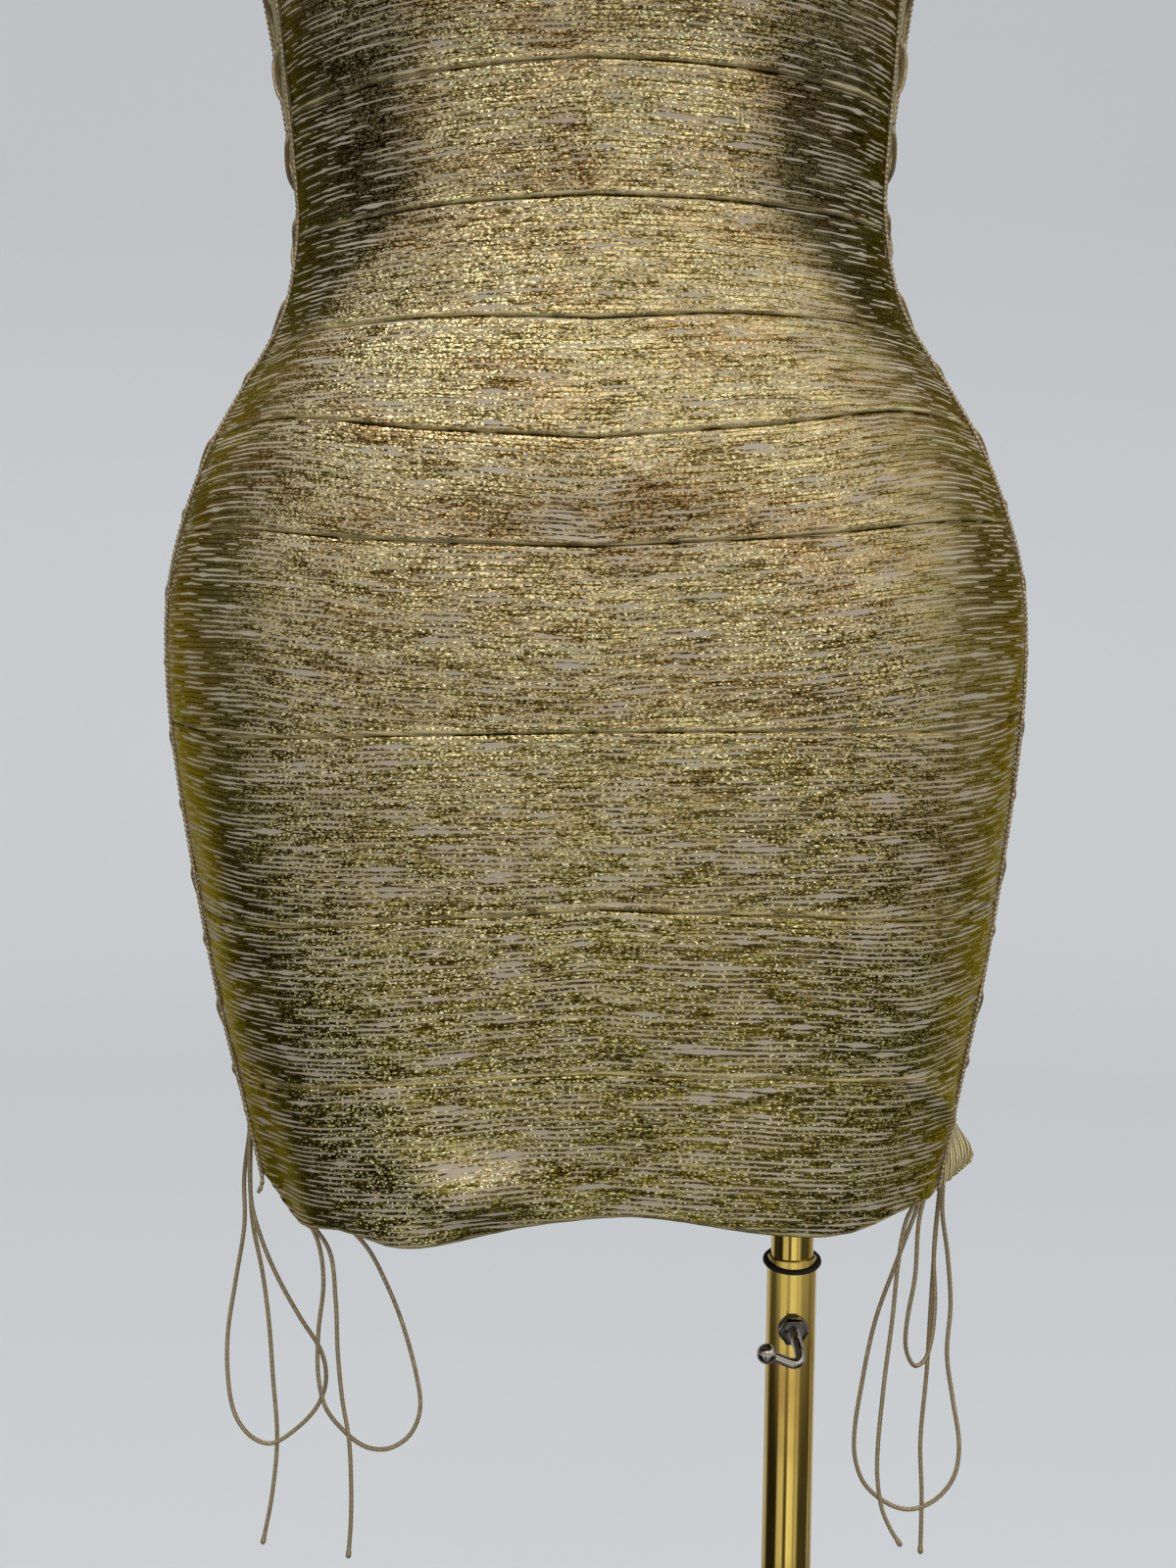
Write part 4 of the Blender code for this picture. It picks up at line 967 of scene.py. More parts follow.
def build_band(panel, index, settings, finish):
    """One knitted band of a panel, with the rolled seam above and below it."""
    above, below = SEAMS[index], SEAMS[index + 1]
    depth = above.middle - below.middle
    rows = round(depth / ROW_STEP)
    name = f"{panel}_band_{index + 1:02d}"

    def place(across, down):
        down = eased(down, ROW_PINCH)
        level = index + down
        side_levels = level[:, :1]
        if panel == "front":
            start, end = side_angle(-1, side_levels, 0.0), side_angle(1, side_levels, 0.0)
        else:
            start = side_angle(1, side_levels, BACK_EDGE)
            end = side_angle(-1, side_levels, BACK_EDGE) + 2 * pi
        share = eased(across, COLUMN_PINCH)
        angle = (start + (end - start) * share + pi) % (2 * pi) - pi
        height = level_height(level, angle)
        out = seam_relief(down, depth, above.relief, below.relief, settings)
        out = out + crease_relief(angle, height) + ripple_relief(angle, height, down, depth)
        out = out + BAND_FULLNESS * np.sin(pi * down)
        out = out - EDGE_TUCK * bell(np.minimum(share, 1 - share) * PANEL_WIDTH, EDGE_TUCK_WIDTH)
        if index == LAST_LEVEL - 1:
            out = out - HEM_TUCK * bell((1 - down) * depth, HEM_TUCK_WIDTH)
        if index == 0:
            out = out - TOP_TUCK * bell(down * depth, TOP_TUCK_WIDTH)
        return dress_points(angle, level, out)

    bm = shaped_grid(BAND_COLUMNS, rows, place)
    layer = bm.loops.layers.uv["cloth"]
    shift = Vector((0.0, above.middle) if panel == "front" else (MAP_APART, above.middle + MAP_HIGHER))
    for face in bm.faces:
        for loop in face.loops:
            loop[layer].uv += shift
    turn_outward(bm, Vector((0, 0, WAIST_HEIGHT + (above.middle + below.middle) / 2)))
    piece = finish_piece(name, mesh_from(name, bm), [finish], "figure", [name])
    thicken(piece, settings.cloth)
    worn = place(*np.meshgrid(np.linspace(0, 1, 60), np.linspace(0, 1, 30)))
    return piece


# ---- the sides -----------------------------------------------------------------------------------
TAIL_LENGTH = 0.0340        # of the right front tape's turned-out end
TAIL_TURN = radians(86)
TAIL_RISE = radians(46)


def tail_share(level):
    """0 above the right front tape's tail, rising to 1 at its end."""
    angle = radians(85) + 0 * np.asarray(level, float)
    above = level_height(level, angle) - level_height(LAST_LEVEL + 0 * angle, angle)
    return np.clip(1 - above / TAIL_LENGTH, 0.0, 1.0)


def tape_points(side, panel, across, level):
    """Points of an eyelet tape, at a share of its width from its join to its free edge."""
    join = FRONT_TAPE[0] if panel == "front" else BACK_TAPE[1]
    free = FRONT_TAPE[1] if panel == "front" else BACK_TAPE[0]
    distance = join + (free - join) * across
    points = side_points(side, level, distance, 0.0)
    if panel == "front" and side > 0:
        turned_out = tail_share(level)
        held = side_points(side, level, join + 0 * across, 0.0)
        reach = (free - join) * across * (1 + 0.62 * turned_out)
        bend = TAIL_TURN * turned_out**1.3
        rise = TAIL_RISE * turned_out**1.5
        ribs = 0.00035 * turned_out * np.sin(across * 2 * pi * 5.5)
        flare = np.stack([np.sin(bend) * np.cos(rise), np.cos(bend) * np.cos(rise) - 0.25 * np.sin(rise),
                          np.sin(rise)], axis=-1)
        swung = held + flare * reach[..., None]
        swung[..., 1] -= ribs
        mix = np.clip(turned_out * 4, 0, 1)[..., None]
        points = points * (1 - mix) + swung * mix
    return points


def build_tape(side, word, panel, eyelets, finish):
    """A woven tape down a panel's side edge, with a hole under each eyelet."""
    rows, columns = 404, 22
    hole = 0.0022

    def place(across, down):
        return tape_points(side, panel, across, down * LAST_LEVEL)

    bm = shaped_grid(columns, rows, place)
    name = f"{panel}_tape_{word}"
    turn_outward(bm, Vector((0, 0, WAIST_HEIGHT)))
    for centre, *_ in eyelets:
        doomed = [face for face in bm.faces if (face.calc_center_median() - centre).length < hole * 0.82]
        bmesh.ops.delete(bm, geom=doomed, context="FACES")
        for vertex in bm.verts:
            away = vertex.co - centre
            if away.length < hole:
                vertex.co = centre + away.normalized() * hole
    piece = finish_piece(name, mesh_from(name, bm), [finish], "figure", [name])
    thicken(piece, 0.0008)
    return piece


def eyelet_levels():
    """Levels of the eyelets, a little closer together toward the hem."""
    first, last, closing = 0.30, LAST_LEVEL - 0.55, 0.15
    places = np.linspace(first, last, 201)
    spots = dress_points(radians(85) + 0 * places, places, 0.0)
    travelled = distances(spots)
    share = np.arange(EYELET_LEVELS) / (EYELET_LEVELS - 1)
    return smooth(travelled, places, travelled[-1] * (share * (1 + closing) - closing * share**2))


def build_eyelets(word, panel, eyelets, size, finish):
    """The row of rolled metal eyelets set in a tape."""
    outer, inner, high = size / 2, size * 0.29, 0.0007
    profile = [(inner, -0.0012), (inner, high * 0.5), (inner + 0.0003, high), (outer * 0.80, high),
               (outer * 0.94, high * 0.65), (outer, 0.0), (outer * 0.96, -0.0001),
               (inner + 0.0004, -0.0001), (inner + 0.0004, -0.0012)]
    bm = bmesh.new()
    for place, out, back in eyelets:
        ring = turned(profile, 16, ring=True)
        add_in(bm, ring, frame_matrix(place + out * 0.0001, back, out.cross(back), out))
    name = f"{panel}_eyelets_{word}"
    return finish_piece(name, mesh_from(name, bm), [finish], "figure")


def side_eyelets(side, panel):
    """Place and axes of every eyelet of a tape."""
    distance = FRONT_EYELET if panel == "front" else BACK_EYELET
    return side_frames(side, eyelet_levels(), distance)


def braid_line(side, join, levels, step=0.00045):
    """Even points along a braid over a join, with the outward direction at each."""
    points = side_points(side, levels, join + 0 * levels, 0.0009)
    ahead = side_points(side, levels, join + 0 * levels, 0.0019)
    travelled = distances(points)
    even = np.linspace(0, travelled[-1], round(travelled[-1] / step))
    line, tips = between(points, travelled, even), between(ahead, travelled, even)
    return line, tips - line


BRAID_LINK = 0.0021         # length of a link of the chain braid


def build_braid(side, word, panel, width, finish):
    """Chain braid over the join of a tape to its panel."""
    join = 0.0 if panel == "front" else BACK_EDGE
    end = LAST_LEVEL - 0.02
    levels = np.linspace(0.02, end, 500)
    line, face = braid_line(side, join, levels)
    if panel == "front" and side < 0:
        stub = np.linspace(0, 1, 14)[1:, None]
        along = line[-1] - line[-6]
        along /= np.linalg.norm(along)
        line = np.concatenate([line, line[-1] + stub * 0.009 * along + stub**2 * np.array(
            [[-0.0035, 0.0005, 0.0008]])])
        face = np.concatenate([face, np.repeat(face[-1:], 13, axis=0)])
    link = 0.00045 * np.arange(len(line)) / BRAID_LINK
    radius = width / 2 * (0.66 + 0.42 * np.abs(np.cos(pi * link)))
    bm = tube(line, radius, 10, lobes=2, lobe_depth=0.10, pitch=BRAID_LINK * 2, flatten=0.75, face=face)
    name = f"{panel}_braid_{word}"
    return finish_piece(name, mesh_from(name, bm), [finish], "figure", [name])


# ---- laces and bows ------------------------------------------------------------------------------
LACE_STEP = 0.0008
CORD_LAY = {"sides": 8, "lobes": 2, "lobe_depth": 0.06, "pitch": 0.0044}
KNOT_LAY = {"sides": 8, "lobes": 2, "lobe_depth": 0.12, "pitch": 0.0056}     # drawn tight


def knot_place(side):
    """Middle of the bow's knot, which hangs on the back panel just behind its braid."""
    return one(side_points(side, KNOT_LEVELS[side], BACK_EDGE + KNOT_BEHIND, KNOT_OUT))


def lace_route(side, lace):
    """One lace's whole way: up through alternate eyelets, over the top, and down across itself."""
    levels = eyelet_levels()
    middle = (FRONT_EYELET + BACK_EYELET) / 2
    edges = {FRONT_EYELET: FRONT_TAPE[1], BACK_EYELET: BACK_TAPE[0]}

    def strand(first, lift):
        stops = []
        for k, level in enumerate(levels):
            hole = FRONT_EYELET if k % 2 == first else BACK_EYELET
            if k:
                gap, before = level - levels[k - 1], levels[k - 1]
                left = FRONT_EYELET if hole == BACK_EYELET else BACK_EYELET
                stops += [(before + gap * 0.10, left, lace * 0.72), (before + gap * 0.30, edges[left],
                                                                     lace * 0.55 + lift * 0.5),
                          (before + gap * 0.5, middle, lift), (before + gap * 0.72, edges[hole],
                                                               -lace * 0.95),
                          (level - gap * 0.05, hole, -lace * 1.1)]
            stops.append((level, hole, 0.0))
        places, distances, outs = np.array(stops).T
        return list(side_points(side, places, distances, outs))

    knot = knot_place(side)
    top = KNOT_HALF_HEIGHT + 1.5 * SEAM_GAP
    ends = []
    for above, along in ((0.14, -0.0019), (0.21, 0.0019)):
        over = [one(side_points(side, KNOT_LEVELS[side] - above, across, out))
                for across, out in ((BACK_TAPE[1] - 0.002, 0.0022), (BACK_EDGE + 0.004, 0.0042))]
        ends.append(over + [knot + Vector((0, along, top))])
    down, up = strand(0, -lace * 0.45), strand(1, lace * 0.58)
    down_end, up_end = ends if side < 0 else ends[::-1]
    return up_end[::-1] + up[::-1] + down + down_end


def build_lace(side, word, lace, finish):
    line = evenly(lace_route(side, lace), LACE_STEP * 1.5)
    bm = tube(line, lace / 2, **CORD_LAY)
    name = f"lace_{word}"
    return finish_piece(name, mesh_from(name, bm), [finish], "figure", [name])


def strand_line(name):
    """Even points of a hanging strand, from its knot to its end or back to the knot."""
    strand = STRANDS[name]
    knot = knot_place(strand.side)
    leaving = [[knot + Vector((strand.side * across, along, -(KNOT_HALF_HEIGHT + SEAM_GAP) - drop))
                for drop in (0, 0.004)] for across, along in strand.starts]
    points = leaving[0] + [Vector(place) for place in strand.route]
    if len(leaving) > 1:
        points += leaving[1][::-1]
    return evenly(points, LACE_STEP)


def build_strand(name, lace, finish):
    """A hanging loop or end of a bow, its cut end melted to a small bead."""
    strand = STRANDS[name]
    line = strand_line(name)
    loop = len(strand.starts) > 1
    radius = np.full(len(line), lace / 2)
    if not loop:
        tip = np.arange(len(line))[::-1] * LACE_STEP
        radius *= 1 + 0.35 * bell(tip - 0.0016, 0.0018)
        radius *= np.sqrt(np.clip(tip / 0.0010 + 0.10, 0.0, 1.0))
    bm = tube(line, radius, **CORD_LAY)
    piece = finish_piece(name, mesh_from(name, bm), [finish], "figure", [name])
    return piece


def build_knot(side, word, lace, finish):
    """The bow's knot: two turns of lace drawn tight round the strands."""
    knot = knot_place(side)
    bm = bmesh.new()
    turns = np.linspace(-0.15, 2.05, 60)
    wrap = np.stack([0.0019 * np.cos(2 * pi * turns) * side, 0.0030 * np.sin(2 * pi * turns),
                     0.0014 - 0.0013 * turns + 0.0006 * np.sin(4 * pi * turns)], axis=-1)
    add_in(bm, tube(wrap, lace / 2 * 1.05, **KNOT_LAY), Matrix.Translation(knot))
    over = np.linspace(-1, 1, 26)
    band = np.stack([0.0021 + 0.0012 * (1 - over**2) + 0 * over, 0.0007 * over, 0.0027 * over], axis=-1)
    band[:, 0] *= side
    add_in(bm, tube(band, lace / 2 * 1.05, **KNOT_LAY), Matrix.Translation(knot))
    name = f"knot_{word}"
    return finish_piece(name, mesh_from(name, bm), [finish], "figure", [name])


# ---- the form ------------------------------------------------------------------------------------
def build_form(finish):
    """Painted foam torso, flat underneath, with its neck and arms closed off in smooth curves."""
    rest = -(CLOTH + FORM_CLEAR) - 0.0002
    lip = [(-0.335, -0.0120), (-0.334, -0.0068), (-0.3322, -0.0038), (-0.3295, -0.0016), (-0.325, 0.0)]
    top = [(0.4300, 0.0), (0.4345, -0.0016), (0.4382, -0.0050), (0.4408, -0.0100), (0.4425, -0.0180),
           (0.4432, -0.0300)]
    body = [(height, 0.0) for height in np.linspace(-0.316, 0.424, 88)]
    rows = np.array(lip + body + top)
    columns = 112

    def place(across, down):
        k = np.rint((1 - down) * (len(rows) - 1)).astype(int)
        height, inset = rows[k, 0], rows[k, 1]
        angle = 2 * pi * across
        base = np.minimum(height, 0.430)
        points = stood_up(skin(angle, base) + outward(angle, base) * (rest + inset)[..., None])
        points[..., 2] += height - base
        underside = WAIST_HEIGHT + FORM_BOTTOM
        points[..., 2] = np.where(k == 0, underside, np.maximum(points[..., 2], underside))
        return points

    bm = shaped_grid(columns, len(rows) - 1, place)
    bmesh.ops.remove_doubles(bm, verts=bm.verts, dist=1e-6)
    bmesh.ops.holes_fill(bm, edges=bm.edges, sides=columns)
    bmesh.ops.recalc_face_normals(bm, faces=bm.faces)
    mesh = mesh_from("form_torso", bm, sharp=50)
    return finish_piece("dress_form", mesh, [finish], "figure", ["form_torso"])


# ---- the stand -----------------------------------------------------------------------------------
def node_axis(node):
    """Middle of a node's box in X and Y."""
    low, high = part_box(node)
    return Vector(((low.x + high.x) / 2, (low.y + high.y) / 2, 0.0))


def rounded(profile, radius, steps=5):
    """A (radius, height) profile with its marked corners rounded.

    Each corner is (radius, height) or (radius, height, True) to be rounded.
    """
    made = []
    for k, corner in enumerate(profile):
        here = Vector(corner[:2])
        if len(corner) < 3:
            made.append(tuple(here))
            continue
        before = Vector(profile[k - 1][:2])
        after = Vector(profile[(k + 1) % len(profile)][:2])
        start = here + (before - here).normalized() * radius
        end = here + (after - here).normalized() * radius
        for step in range(steps + 1):
            t = step / steps
            made.append(tuple(start * (1 - t)**2 + here * 2 * t * (1 - t) + end * t**2))
    return made


def build_turned(name, profile, radius, centre, finish, body, sides=64, ring=False, stands_for=None):
    bm = turned(rounded(profile, radius), sides, ring)
    bmesh.ops.translate(bm, vec=centre, verts=bm.verts)
    mesh = mesh_from(name, bm, sharp=40)
    return finish_piece(name, mesh, [finish], body, [stands_for or name])


def build_stand(brass, steel, rubber, paint):
    """Base, socket, both tubes of the pole, the rubber ring and the form's flange."""
    pole = node_axis("pole_outer")
    low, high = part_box("base_disc")
    radius, thick = (high.x - low.x) / 2, high.z
    build_turned("base_disc", [(0, 0), (radius, 0, True), (radius, thick, True), (0, thick)], 0.0038,
                 Vector((0, 0, 0)), paint, "stand", 128)
    low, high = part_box("base_socket")
    wide, foot, top = (high.x - low.x) / 2, low.z, high.z
    narrow = wide - 0.008
    bore = 0.0108
    build_turned("base_socket", [(bore, foot), (wide, foot), (wide, foot + 0.0052, True),
                                 (narrow, foot + 0.0072, True), (narrow, top, True), (bore, top)],
                 0.0018, pole, brass, "stand", 64, True)
    low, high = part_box("pole_outer")
    outer = (high.x - low.x) / 2
    build_turned("pole_outer", [(outer - 0.001, low.z), (outer, low.z), (outer, high.z, True),
                                (outer - 0.001, high.z)], 0.0004, pole, brass, "stand",
                 96, True)
    low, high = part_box("pole_inner")
    inner = (high.x - low.x) / 2
    build_turned("pole_inner", [(inner - 0.0012, low.z), (inner, low.z), (inner, high.z),
                                (inner - 0.0012, high.z)], 0.0004, pole, brass, "figure",
                 96, True)
    low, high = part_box("pole_ring")
    section, dip = 0.0010, 0.23
    middle = (low.z + high.z) / 2
    hoop = [(outer + section * (0.95 + cos(2 * pi * k / 14)), middle + section * sin(2 * pi * k / 14))
            for k in range(14)]
    bm = turned(hoop, 72, ring=True)
    for vertex in bm.verts:
        vertex.co.z += dip * vertex.co.y
    bmesh.ops.translate(bm, vec=pole, verts=bm.verts)
    finish_piece("pole_ring", mesh_from("pole_ring", bm), [rubber], "stand", ["pole_ring"])
    low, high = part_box("form_flange")
    wide, under = (high.x - low.x) / 2, high.z
    collar = 0.0130
    grip = inner + SEAM_GAP
    seat = under - 0.006
    build_turned("form_flange", [(0, seat), (grip, seat), (grip, low.z), (collar, low.z, True),
                                 (collar, under - 0.004), (wide, under - 0.004, True),
                                 (wide, under, True), (0, under)], 0.0008, pole, steel, "figure")


def build_clamp(steel, bright):
    """The clamp: a domed nut on the outer tube, and a threaded screw bent into a ball-ended lever."""
    pole = node_axis("pole_outer")
    low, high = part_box("clamp_nut")
    height = (low.z + high.z) / 2
    across = (high.x - low.x) / 2
    axis = Vector((pole.x, pole.y, height))
    outward_axes = Matrix(((1, 0, 0), (0, 0, -1), (0, 1, 0))).to_4x4()

    bm = bmesh.new()
    bmesh.ops.create_cone(bm, cap_ends=True, segments=6, radius1=across / cos(pi / 6),
                          radius2=across / cos(pi / 6), depth=high.y - low.y)
    bmesh.ops.rotate(bm, matrix=Matrix.Rotation(radians(30), 3, "Z"), cent=(0, 0, 0), verts=bm.verts)
    front = max(bm.faces, key=lambda face: face.calc_center_median().z)
    bmesh.ops.bevel(bm, geom=list(front.edges), offset=0.0016, segments=3, profile=0.5,
                    affect="EDGES", material=-1)
    upright = [edge for edge in bm.edges if abs(edge.verts[0].co.z - edge.verts[1].co.z) > 0.003]
    bmesh.ops.bevel(bm, geom=upright, offset=0.0004, segments=2, profile=0.5, affect="EDGES",
                    material=-1)
    washer = turned(rounded([(0.0026, -0.0034), (across * 1.16, -0.0034, True),
                             (across * 1.16, -0.0024, True), (0.0026, -0.0024)], 0.0004), 32, ring=True)
    add_in(bm, washer, Matrix.Identity(4))
    centre = Vector((pole.x, (low.y + high.y) / 2, height))
    bmesh.ops.transform(bm, matrix=Matrix.Translation(centre) @ outward_axes, verts=bm.verts)
    finish_piece("clamp_nut", mesh_from("clamp_nut", bm, sharp=35), [steel], "stand",
                 ["clamp_nut"])

    bm = bmesh.new()
    start, end, pitch = -0.0096, -0.0290, 0.0010
    count = 150
    thread = np.stack([np.zeros(count), np.linspace(start, end, count), np.zeros(count)], axis=-1)
    teeth = 0.00235 + 0.00022 * np.cos(2 * pi * (thread[:, 1] - start) / pitch)
    add_in(bm, tube(thread, teeth, 20), Matrix.Translation(axis))
    lever = evenly([(0, -0.0280, 0), (0.0004, -0.0310, -0.0008), (0.0009, -0.0350, -0.0027),
                    (0.0009, -0.0376, -0.0049), (-0.0006, -0.0390, -0.0062), (-0.0034, -0.0395, -0.0058),
                    (-0.0095, -0.0397, -0.0034), (-0.0120, -0.0398, -0.0024)], 0.0004)
    share = np.linspace(0, 1, len(lever))
    add_in(bm, tube(lever, 0.0024 - 0.0004 * share, 20), Matrix.Translation(axis))
    along = Vector((-0.93, -0.02, 0.36)).normalized()
    ball = bmesh.new()
    bmesh.ops.create_uvsphere(ball, u_segments=40, v_segments=24, radius=0.0042)
    place = axis + Vector((-0.0095, -0.0397, -0.0034)) + along * 0.0036
    add_in(bm, ball, Matrix.Translation(place))
    finish_piece("clamp_screw", mesh_from("clamp_screw", bm), [bright], "clamp",
                 ["clamp_screw"])


# ---- the stage -----------------------------------------------------------------------------------
CAMERA_PLACE = (0.00175, -1.05, 0.95528)
CAMERA_DOWN = 4.38          # degrees that it looks down
CAMERA_ROLL = 0.8
FOCAL_LENGTH, SENSOR_WIDTH = 58.8, 36.0         # millimetres


def build_camera():
    """Camera level with the hem, looking at the dress from the front and a little down."""
    scene = bpy.context.scene
    lens = bpy.data.cameras.new("camera")
    lens.sensor_width = SENSOR_WIDTH
    lens.lens = FOCAL_LENGTH
    lens.clip_start, lens.clip_end = 0.05, 60.0
    camera = bpy.data.objects.new("camera", lens)
    scene.collection.objects.link(camera)
    pitch, roll = radians(90 - CAMERA_DOWN), radians(CAMERA_ROLL)
    camera.matrix_world = (Matrix.Translation(CAMERA_PLACE)
                           @ Matrix.Rotation(pitch, 4, "X") @ Matrix.Rotation(roll, 4, "Z"))
    scene.camera = camera


def build_light(name, place, target, size, power, tint):
    data = bpy.data.lights.new(name, "AREA")
    data.shape = "RECTANGLE"
    data.size, data.size_y = size
    data.energy = power
    data.color = tint
    light = bpy.data.objects.new(name, data)
    bpy.context.scene.collection.objects.link(light)
    light.location = place
    light.rotation_euler = (Vector(target) - Vector(place)).to_track_quat("-Z", "Y").to_euler()
    light.visible_camera = False


def by_direction(tree, share, lights):
    """Greys for some directions, which are given in degrees round from the front."""
    return ramped(tree, share, [((angle + 180) / 360, light) for angle, light in lights])


def build_world(strength):
    """Soft studio surroundings: bright ahead and above, dim low down and to the left."""
    world = bpy.data.worlds.new("studio")
    bpy.context.scene.world = world
    world.use_nodes = True
    tree = world.node_tree
    tree.nodes.clear()
    way = add(tree, "TexCoord")
    parts = split(tree, way.outputs["Generated"])
    ahead = calc(tree, "MULTIPLY", parts[1], -1.0)
    turn = calc(tree, "ARCTAN2", parts[0], ahead)
    share = mapped(tree, turn, -pi, pi)
    # Round from straight behind the dress, by way of its left, front and right.
    around = by_direction(tree, share, (
        (-180, 0.46), (-130, 0.46), (-116, 0.42), (-104, 0.26), (-90, 0.14), (-79, 0.36),
        (-66, 0.68), (-40, 0.72), (-5, 0.80), (40, 0.72), (56, 0.66), (80, 0.76), (92, 0.60),
        (108, 0.38), (128, 0.40), (180, 0.46)))
    # Low down, the legs of tables and the edges of the floor show in the brass as stripes.
    low_around = by_direction(tree, share, (
        (-180, 0.20), (-148, 0.55), (-130, 0.45), (-112, 0.02), (-60, 0.01), (-50, 0.62),
        (-28, 0.66), (-22, 0.08), (-12, 0.08), (-6, 1.00), (18, 0.85), (24, 0.25), (30, 0.62),
        (38, 0.45), (46, 0.05), (96, 0.05), (106, 0.45), (122, 0.16), (142, 0.60), (180, 0.20)))
    low_share = mapped(tree, parts[2], -0.10, -0.24)
    sector = mixed(tree, low_share, around, low_around)
    risen = mapped(tree, parts[2], -1.0, 1.0)
    rise = ramped(tree, risen,
                  [(0.0, 0.36), (0.25, 0.42), (0.31, 0.60), (0.35, 1.16), (0.44, 1.10), (0.50, 0.84),
                   (0.55, 0.48), (0.61, 0.50), (0.69, 0.92), (0.80, 0.95), (1.0, 1.0)])
    both = times(tree, sector, rise)
    glow = add(tree, "Background", {"Color": both, "Strength": strength})
    add(tree, "OutputWorld", {"Surface": glow.outputs[0]})


def build_backdrop(colour, sides):
    """Plain pale floor that curves up into a round wall, far enough away to walk round inside."""
    radius, bend, wall = 6.0, 2.0, 6.0
    profile = [(0, 0), (radius - bend, 0)]
    for k in range(1, 13):
        turn = pi / 2 * k / 12
        profile.append((radius - bend + bend * sin(turn), bend * (1 - cos(turn))))
    profile.append((radius, wall))
    bm = turned(profile, sides)
    bmesh.ops.translate(bm, vec=(0, 0, -0.0002), verts=bm.verts)
    bmesh.ops.reverse_faces(bm, faces=bm.faces)
    made, tree, shader = new_material("matt_backdrop_paint", Roughness=0.9, Emission_Strength=0.30)
    place = add(tree, "TexCoord")
    cloud = noise(tree, place.outputs["Object"], 0.6)
    tint = mixed(tree, cloud, colour, [channel * 0.97 for channel in colour[:3]] + [1.0])
    connect(tree, shader, {"Base Color": tint, "Emission Color": tint})
    floor = bpy.data.objects.new("floor", mesh_from("floor", bm))
    floor.data.materials.append(made)
    bpy.context.scene.collection.objects.link(floor)
    floor.visible_glossy = False
    floor.visible_diffuse = False
    floor.visible_shadow = False


# ---- operators -----------------------------------------------------------------------------------
SIDES = ((-1, "left"), (1, "right"))


def shared_material(name, make):
    """The named material, made the first time that it is asked for."""
    return bpy.data.materials.get(name) or make()


def cord_finish(settings):
    return shared_material("twisted_satin_cord", lambda: lurex_cord(
        "twisted_satin_cord", tuple(settings.cord), linear("#A08D64"), 900.0))


def brass_finish(settings):
    return shared_material("lacquered_brass_tube", lambda: worked_metal(
        "lacquered_brass_tube", tuple(settings.brass), linear("#B5904A"), 0.07, 0.16, 260.0,
        stretch=(1.0, 1.0, 0.04)))


def nickel_finish():
    return shared_material("black_nickel_plate", lambda: worked_metal(
        "black_nickel_plate", linear("#5C5854"), linear("#383431"), 0.14, 0.26, 700.0))


class DRESS_OT_stage(bpy.types.Operator):
    """Make the camera, the soft lights, the pale floor and the backdrop"""
    bl_idname = "dress.stage"
    bl_label = "Stage"

    def execute(self, context):
        settings = context.scene.dress_stage
        build_camera()
        build_world(settings.brightness)
        build_light("key", (0.10, -2.5, 2.6), (0, 0, 1.0), (1.3, 1.0), 5 * settings.brightness,
                    (1.0, 0.98, 0.96))
        build_light("side", (1.8, -1.35, 1.75), (0, 0, 0.95), (1.5, 1.0), 3.6 * settings.brightness,
                    (1.0, 0.98, 0.95))
        build_light("top", (-0.2, -0.5, 3.4), (0, 0, 1.0), (2.0, 2.0), 26 * settings.brightness,
                    (0.98, 0.99, 1.0))
        build_backdrop(tuple(settings.floor), settings.sides)
        context.scene.view_settings.view_transform = "Standard"
        return {"FINISHED"}


class DRESS_OT_bows(bpy.types.Operator):
    """Make the hanging loops and ends of both bows, and their knots"""
    bl_idname = "dress.bows"
    bl_label = "Bows"

    def execute(self, context):
        settings = context.scene.dress_trim
        finish = cord_finish(settings)
        for name in STRANDS:
            build_strand(name, settings.lace, finish)
        for side, word in SIDES:
            build_knot(side, word, settings.lace, finish)
        return {"FINISHED"}


class DRESS_OT_bands(bpy.types.Operator):
    """Make the knitted bands of the front and back panels"""
    bl_idname = "dress.bands"
    bl_label = "Bands"

    def execute(self, context):
        settings = context.scene.dress_cloth
        finish = foil_knit(tuple(settings.foil), tuple(settings.knit))
        for panel in ("front", "back"):
            for index in range(LAST_LEVEL):
                build_band(panel, index, settings, finish)
        return {"FINISHED"}


class DRESS_OT_tapes(bpy.types.Operator):
    """Make the four eyelet tapes, with their eyelets"""
    bl_idname = "dress.tapes"
    bl_label = "Eyelet tapes"

    def execute(self, context):
        settings = context.scene.dress_trim
        finish = ribbed_tape(tuple(settings.tape))
        metal = worked_metal("pale_gold_eyelet", linear("#E6D9B4"), linear("#BBA877"), 0.12, 0.24, 500.0)
        for side, word in SIDES:
            for panel in ("front", "back"):
                eyelets = side_eyelets(side, panel)
                build_tape(side, word, panel, eyelets, finish)
                build_eyelets(word, panel, eyelets, settings.eyelet, metal)
        return {"FINISHED"}


class DRESS_OT_braids(bpy.types.Operator):
    """Make the chain braids over the tapes' joins"""
    bl_idname = "dress.braids"
    bl_label = "Braids"

    def execute(self, context):
        settings = context.scene.dress_trim
        finish = lurex_cord("gold_chain_braid", tuple(settings.braid), linear("#7C6A44"), 1100.0)
        for side, word in SIDES:
            for panel in ("front", "back"):
                build_braid(side, word, panel, settings.braid_width, finish)
        return {"FINISHED"}


class DRESS_OT_laces(bpy.types.Operator):
    """Thread a lace through the eyelets of each side"""
    bl_idname = "dress.laces"
    bl_label = "Laces"

    def execute(self, context):
        settings = context.scene.dress_trim
        for side, word in SIDES:
            build_lace(side, word, settings.lace, cord_finish(settings))
        return {"FINISHED"}


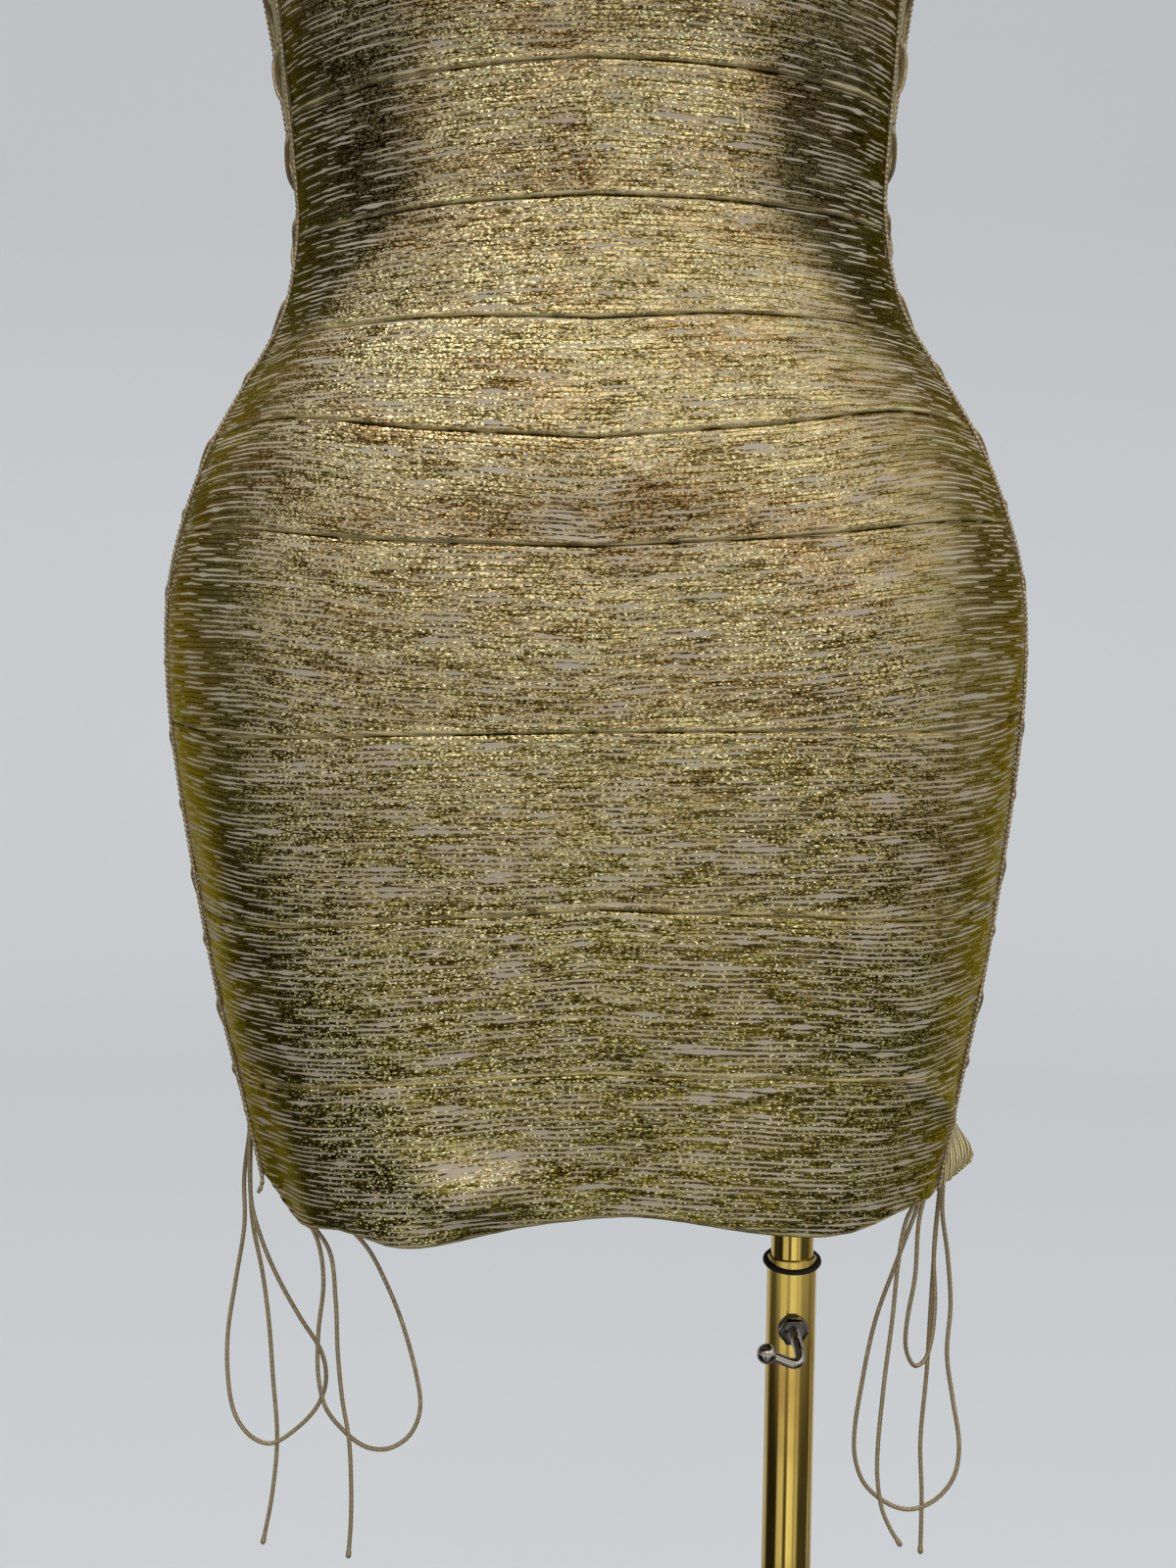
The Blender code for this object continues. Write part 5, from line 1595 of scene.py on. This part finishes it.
class DRESS_OT_form(bpy.types.Operator):
    """Make the painted torso form"""
    bl_idname = "dress.form"
    bl_label = "Form"

    def execute(self, context):
        settings = context.scene.dress_stand
        build_form(moulded("painted_foam_shell", tuple(settings.form), linear("#D6CDBC"), 0.50, 0.66,
                           420.0, 0.0003))
        return {"FINISHED"}


class DRESS_OT_stand(bpy.types.Operator):
    """Make the base, the telescoping pole, its ring and the form's flange"""
    bl_idname = "dress.stand"
    bl_label = "Stand"

    def execute(self, context):
        settings = context.scene.dress_stand
        rubber = moulded("black_rubber", linear("#141414"), linear("#1D1C1B"), 0.55, 0.75, 900.0, 0.0002)
        paint = moulded("black_powder_coat", tuple(settings.base), linear("#343231"), 0.38, 0.52,
                        800.0, 0.0003)
        build_stand(brass_finish(settings), nickel_finish(), rubber, paint)
        return {"FINISHED"}


class DRESS_OT_clamp(bpy.types.Operator):
    """Make the pole's clamp nut and its ball-ended screw"""
    bl_idname = "dress.clamp"
    bl_label = "Clamp"

    def execute(self, context):
        bright = worked_metal("bright_nickel_plate", linear("#B9B2A6"), linear("#8F887C"), 0.10, 0.2, 600.0)
        build_clamp(nickel_finish(), bright)
        return {"FINISHED"}


STEPS = (DRESS_OT_stage, DRESS_OT_bows, DRESS_OT_bands, DRESS_OT_tapes, DRESS_OT_braids, DRESS_OT_laces,
         DRESS_OT_form, DRESS_OT_stand, DRESS_OT_clamp)


class DRESS_PT_panel(bpy.types.Panel):
    """Everything that the dress and its stand are made of"""
    bl_label = "Laced bandage dress"
    bl_space_type = "VIEW_3D"
    bl_region_type = "UI"
    bl_category = "Dress"

    def draw(self, context):
        scene = context.scene
        for group in (scene.dress_cloth, scene.dress_trim, scene.dress_stand, scene.dress_stage):
            box = self.layout.box()
            for name in group.bl_rna.properties.keys():
                if name not in ("rna_type", "name"):
                    box.prop(group, name)
        for step in STEPS:
            self.layout.operator(step.bl_idname)


GROUPS = {"dress_cloth": DressSettings, "dress_trim": TrimSettings, "dress_stand": StandSettings,
          "dress_stage": StageSettings}


def register():
    for group in GROUPS.values():
        bpy.utils.register_class(group)
    for name, group in GROUPS.items():
        setattr(bpy.types.Scene, name, PointerProperty(type=group))
    for step in STEPS:
        bpy.utils.register_class(step)
    bpy.utils.register_class(DRESS_PT_panel)


def unregister():
    bpy.utils.unregister_class(DRESS_PT_panel)
    for step in reversed(STEPS):
        bpy.utils.unregister_class(step)
    for name, group in GROUPS.items():
        delattr(bpy.types.Scene, name)
        bpy.utils.unregister_class(group)


def main():
    register()
    for step in STEPS:
        group, name = step.bl_idname.split(".")
        getattr(getattr(bpy.ops, group), name)()


if __name__ == "__main__":
    main()
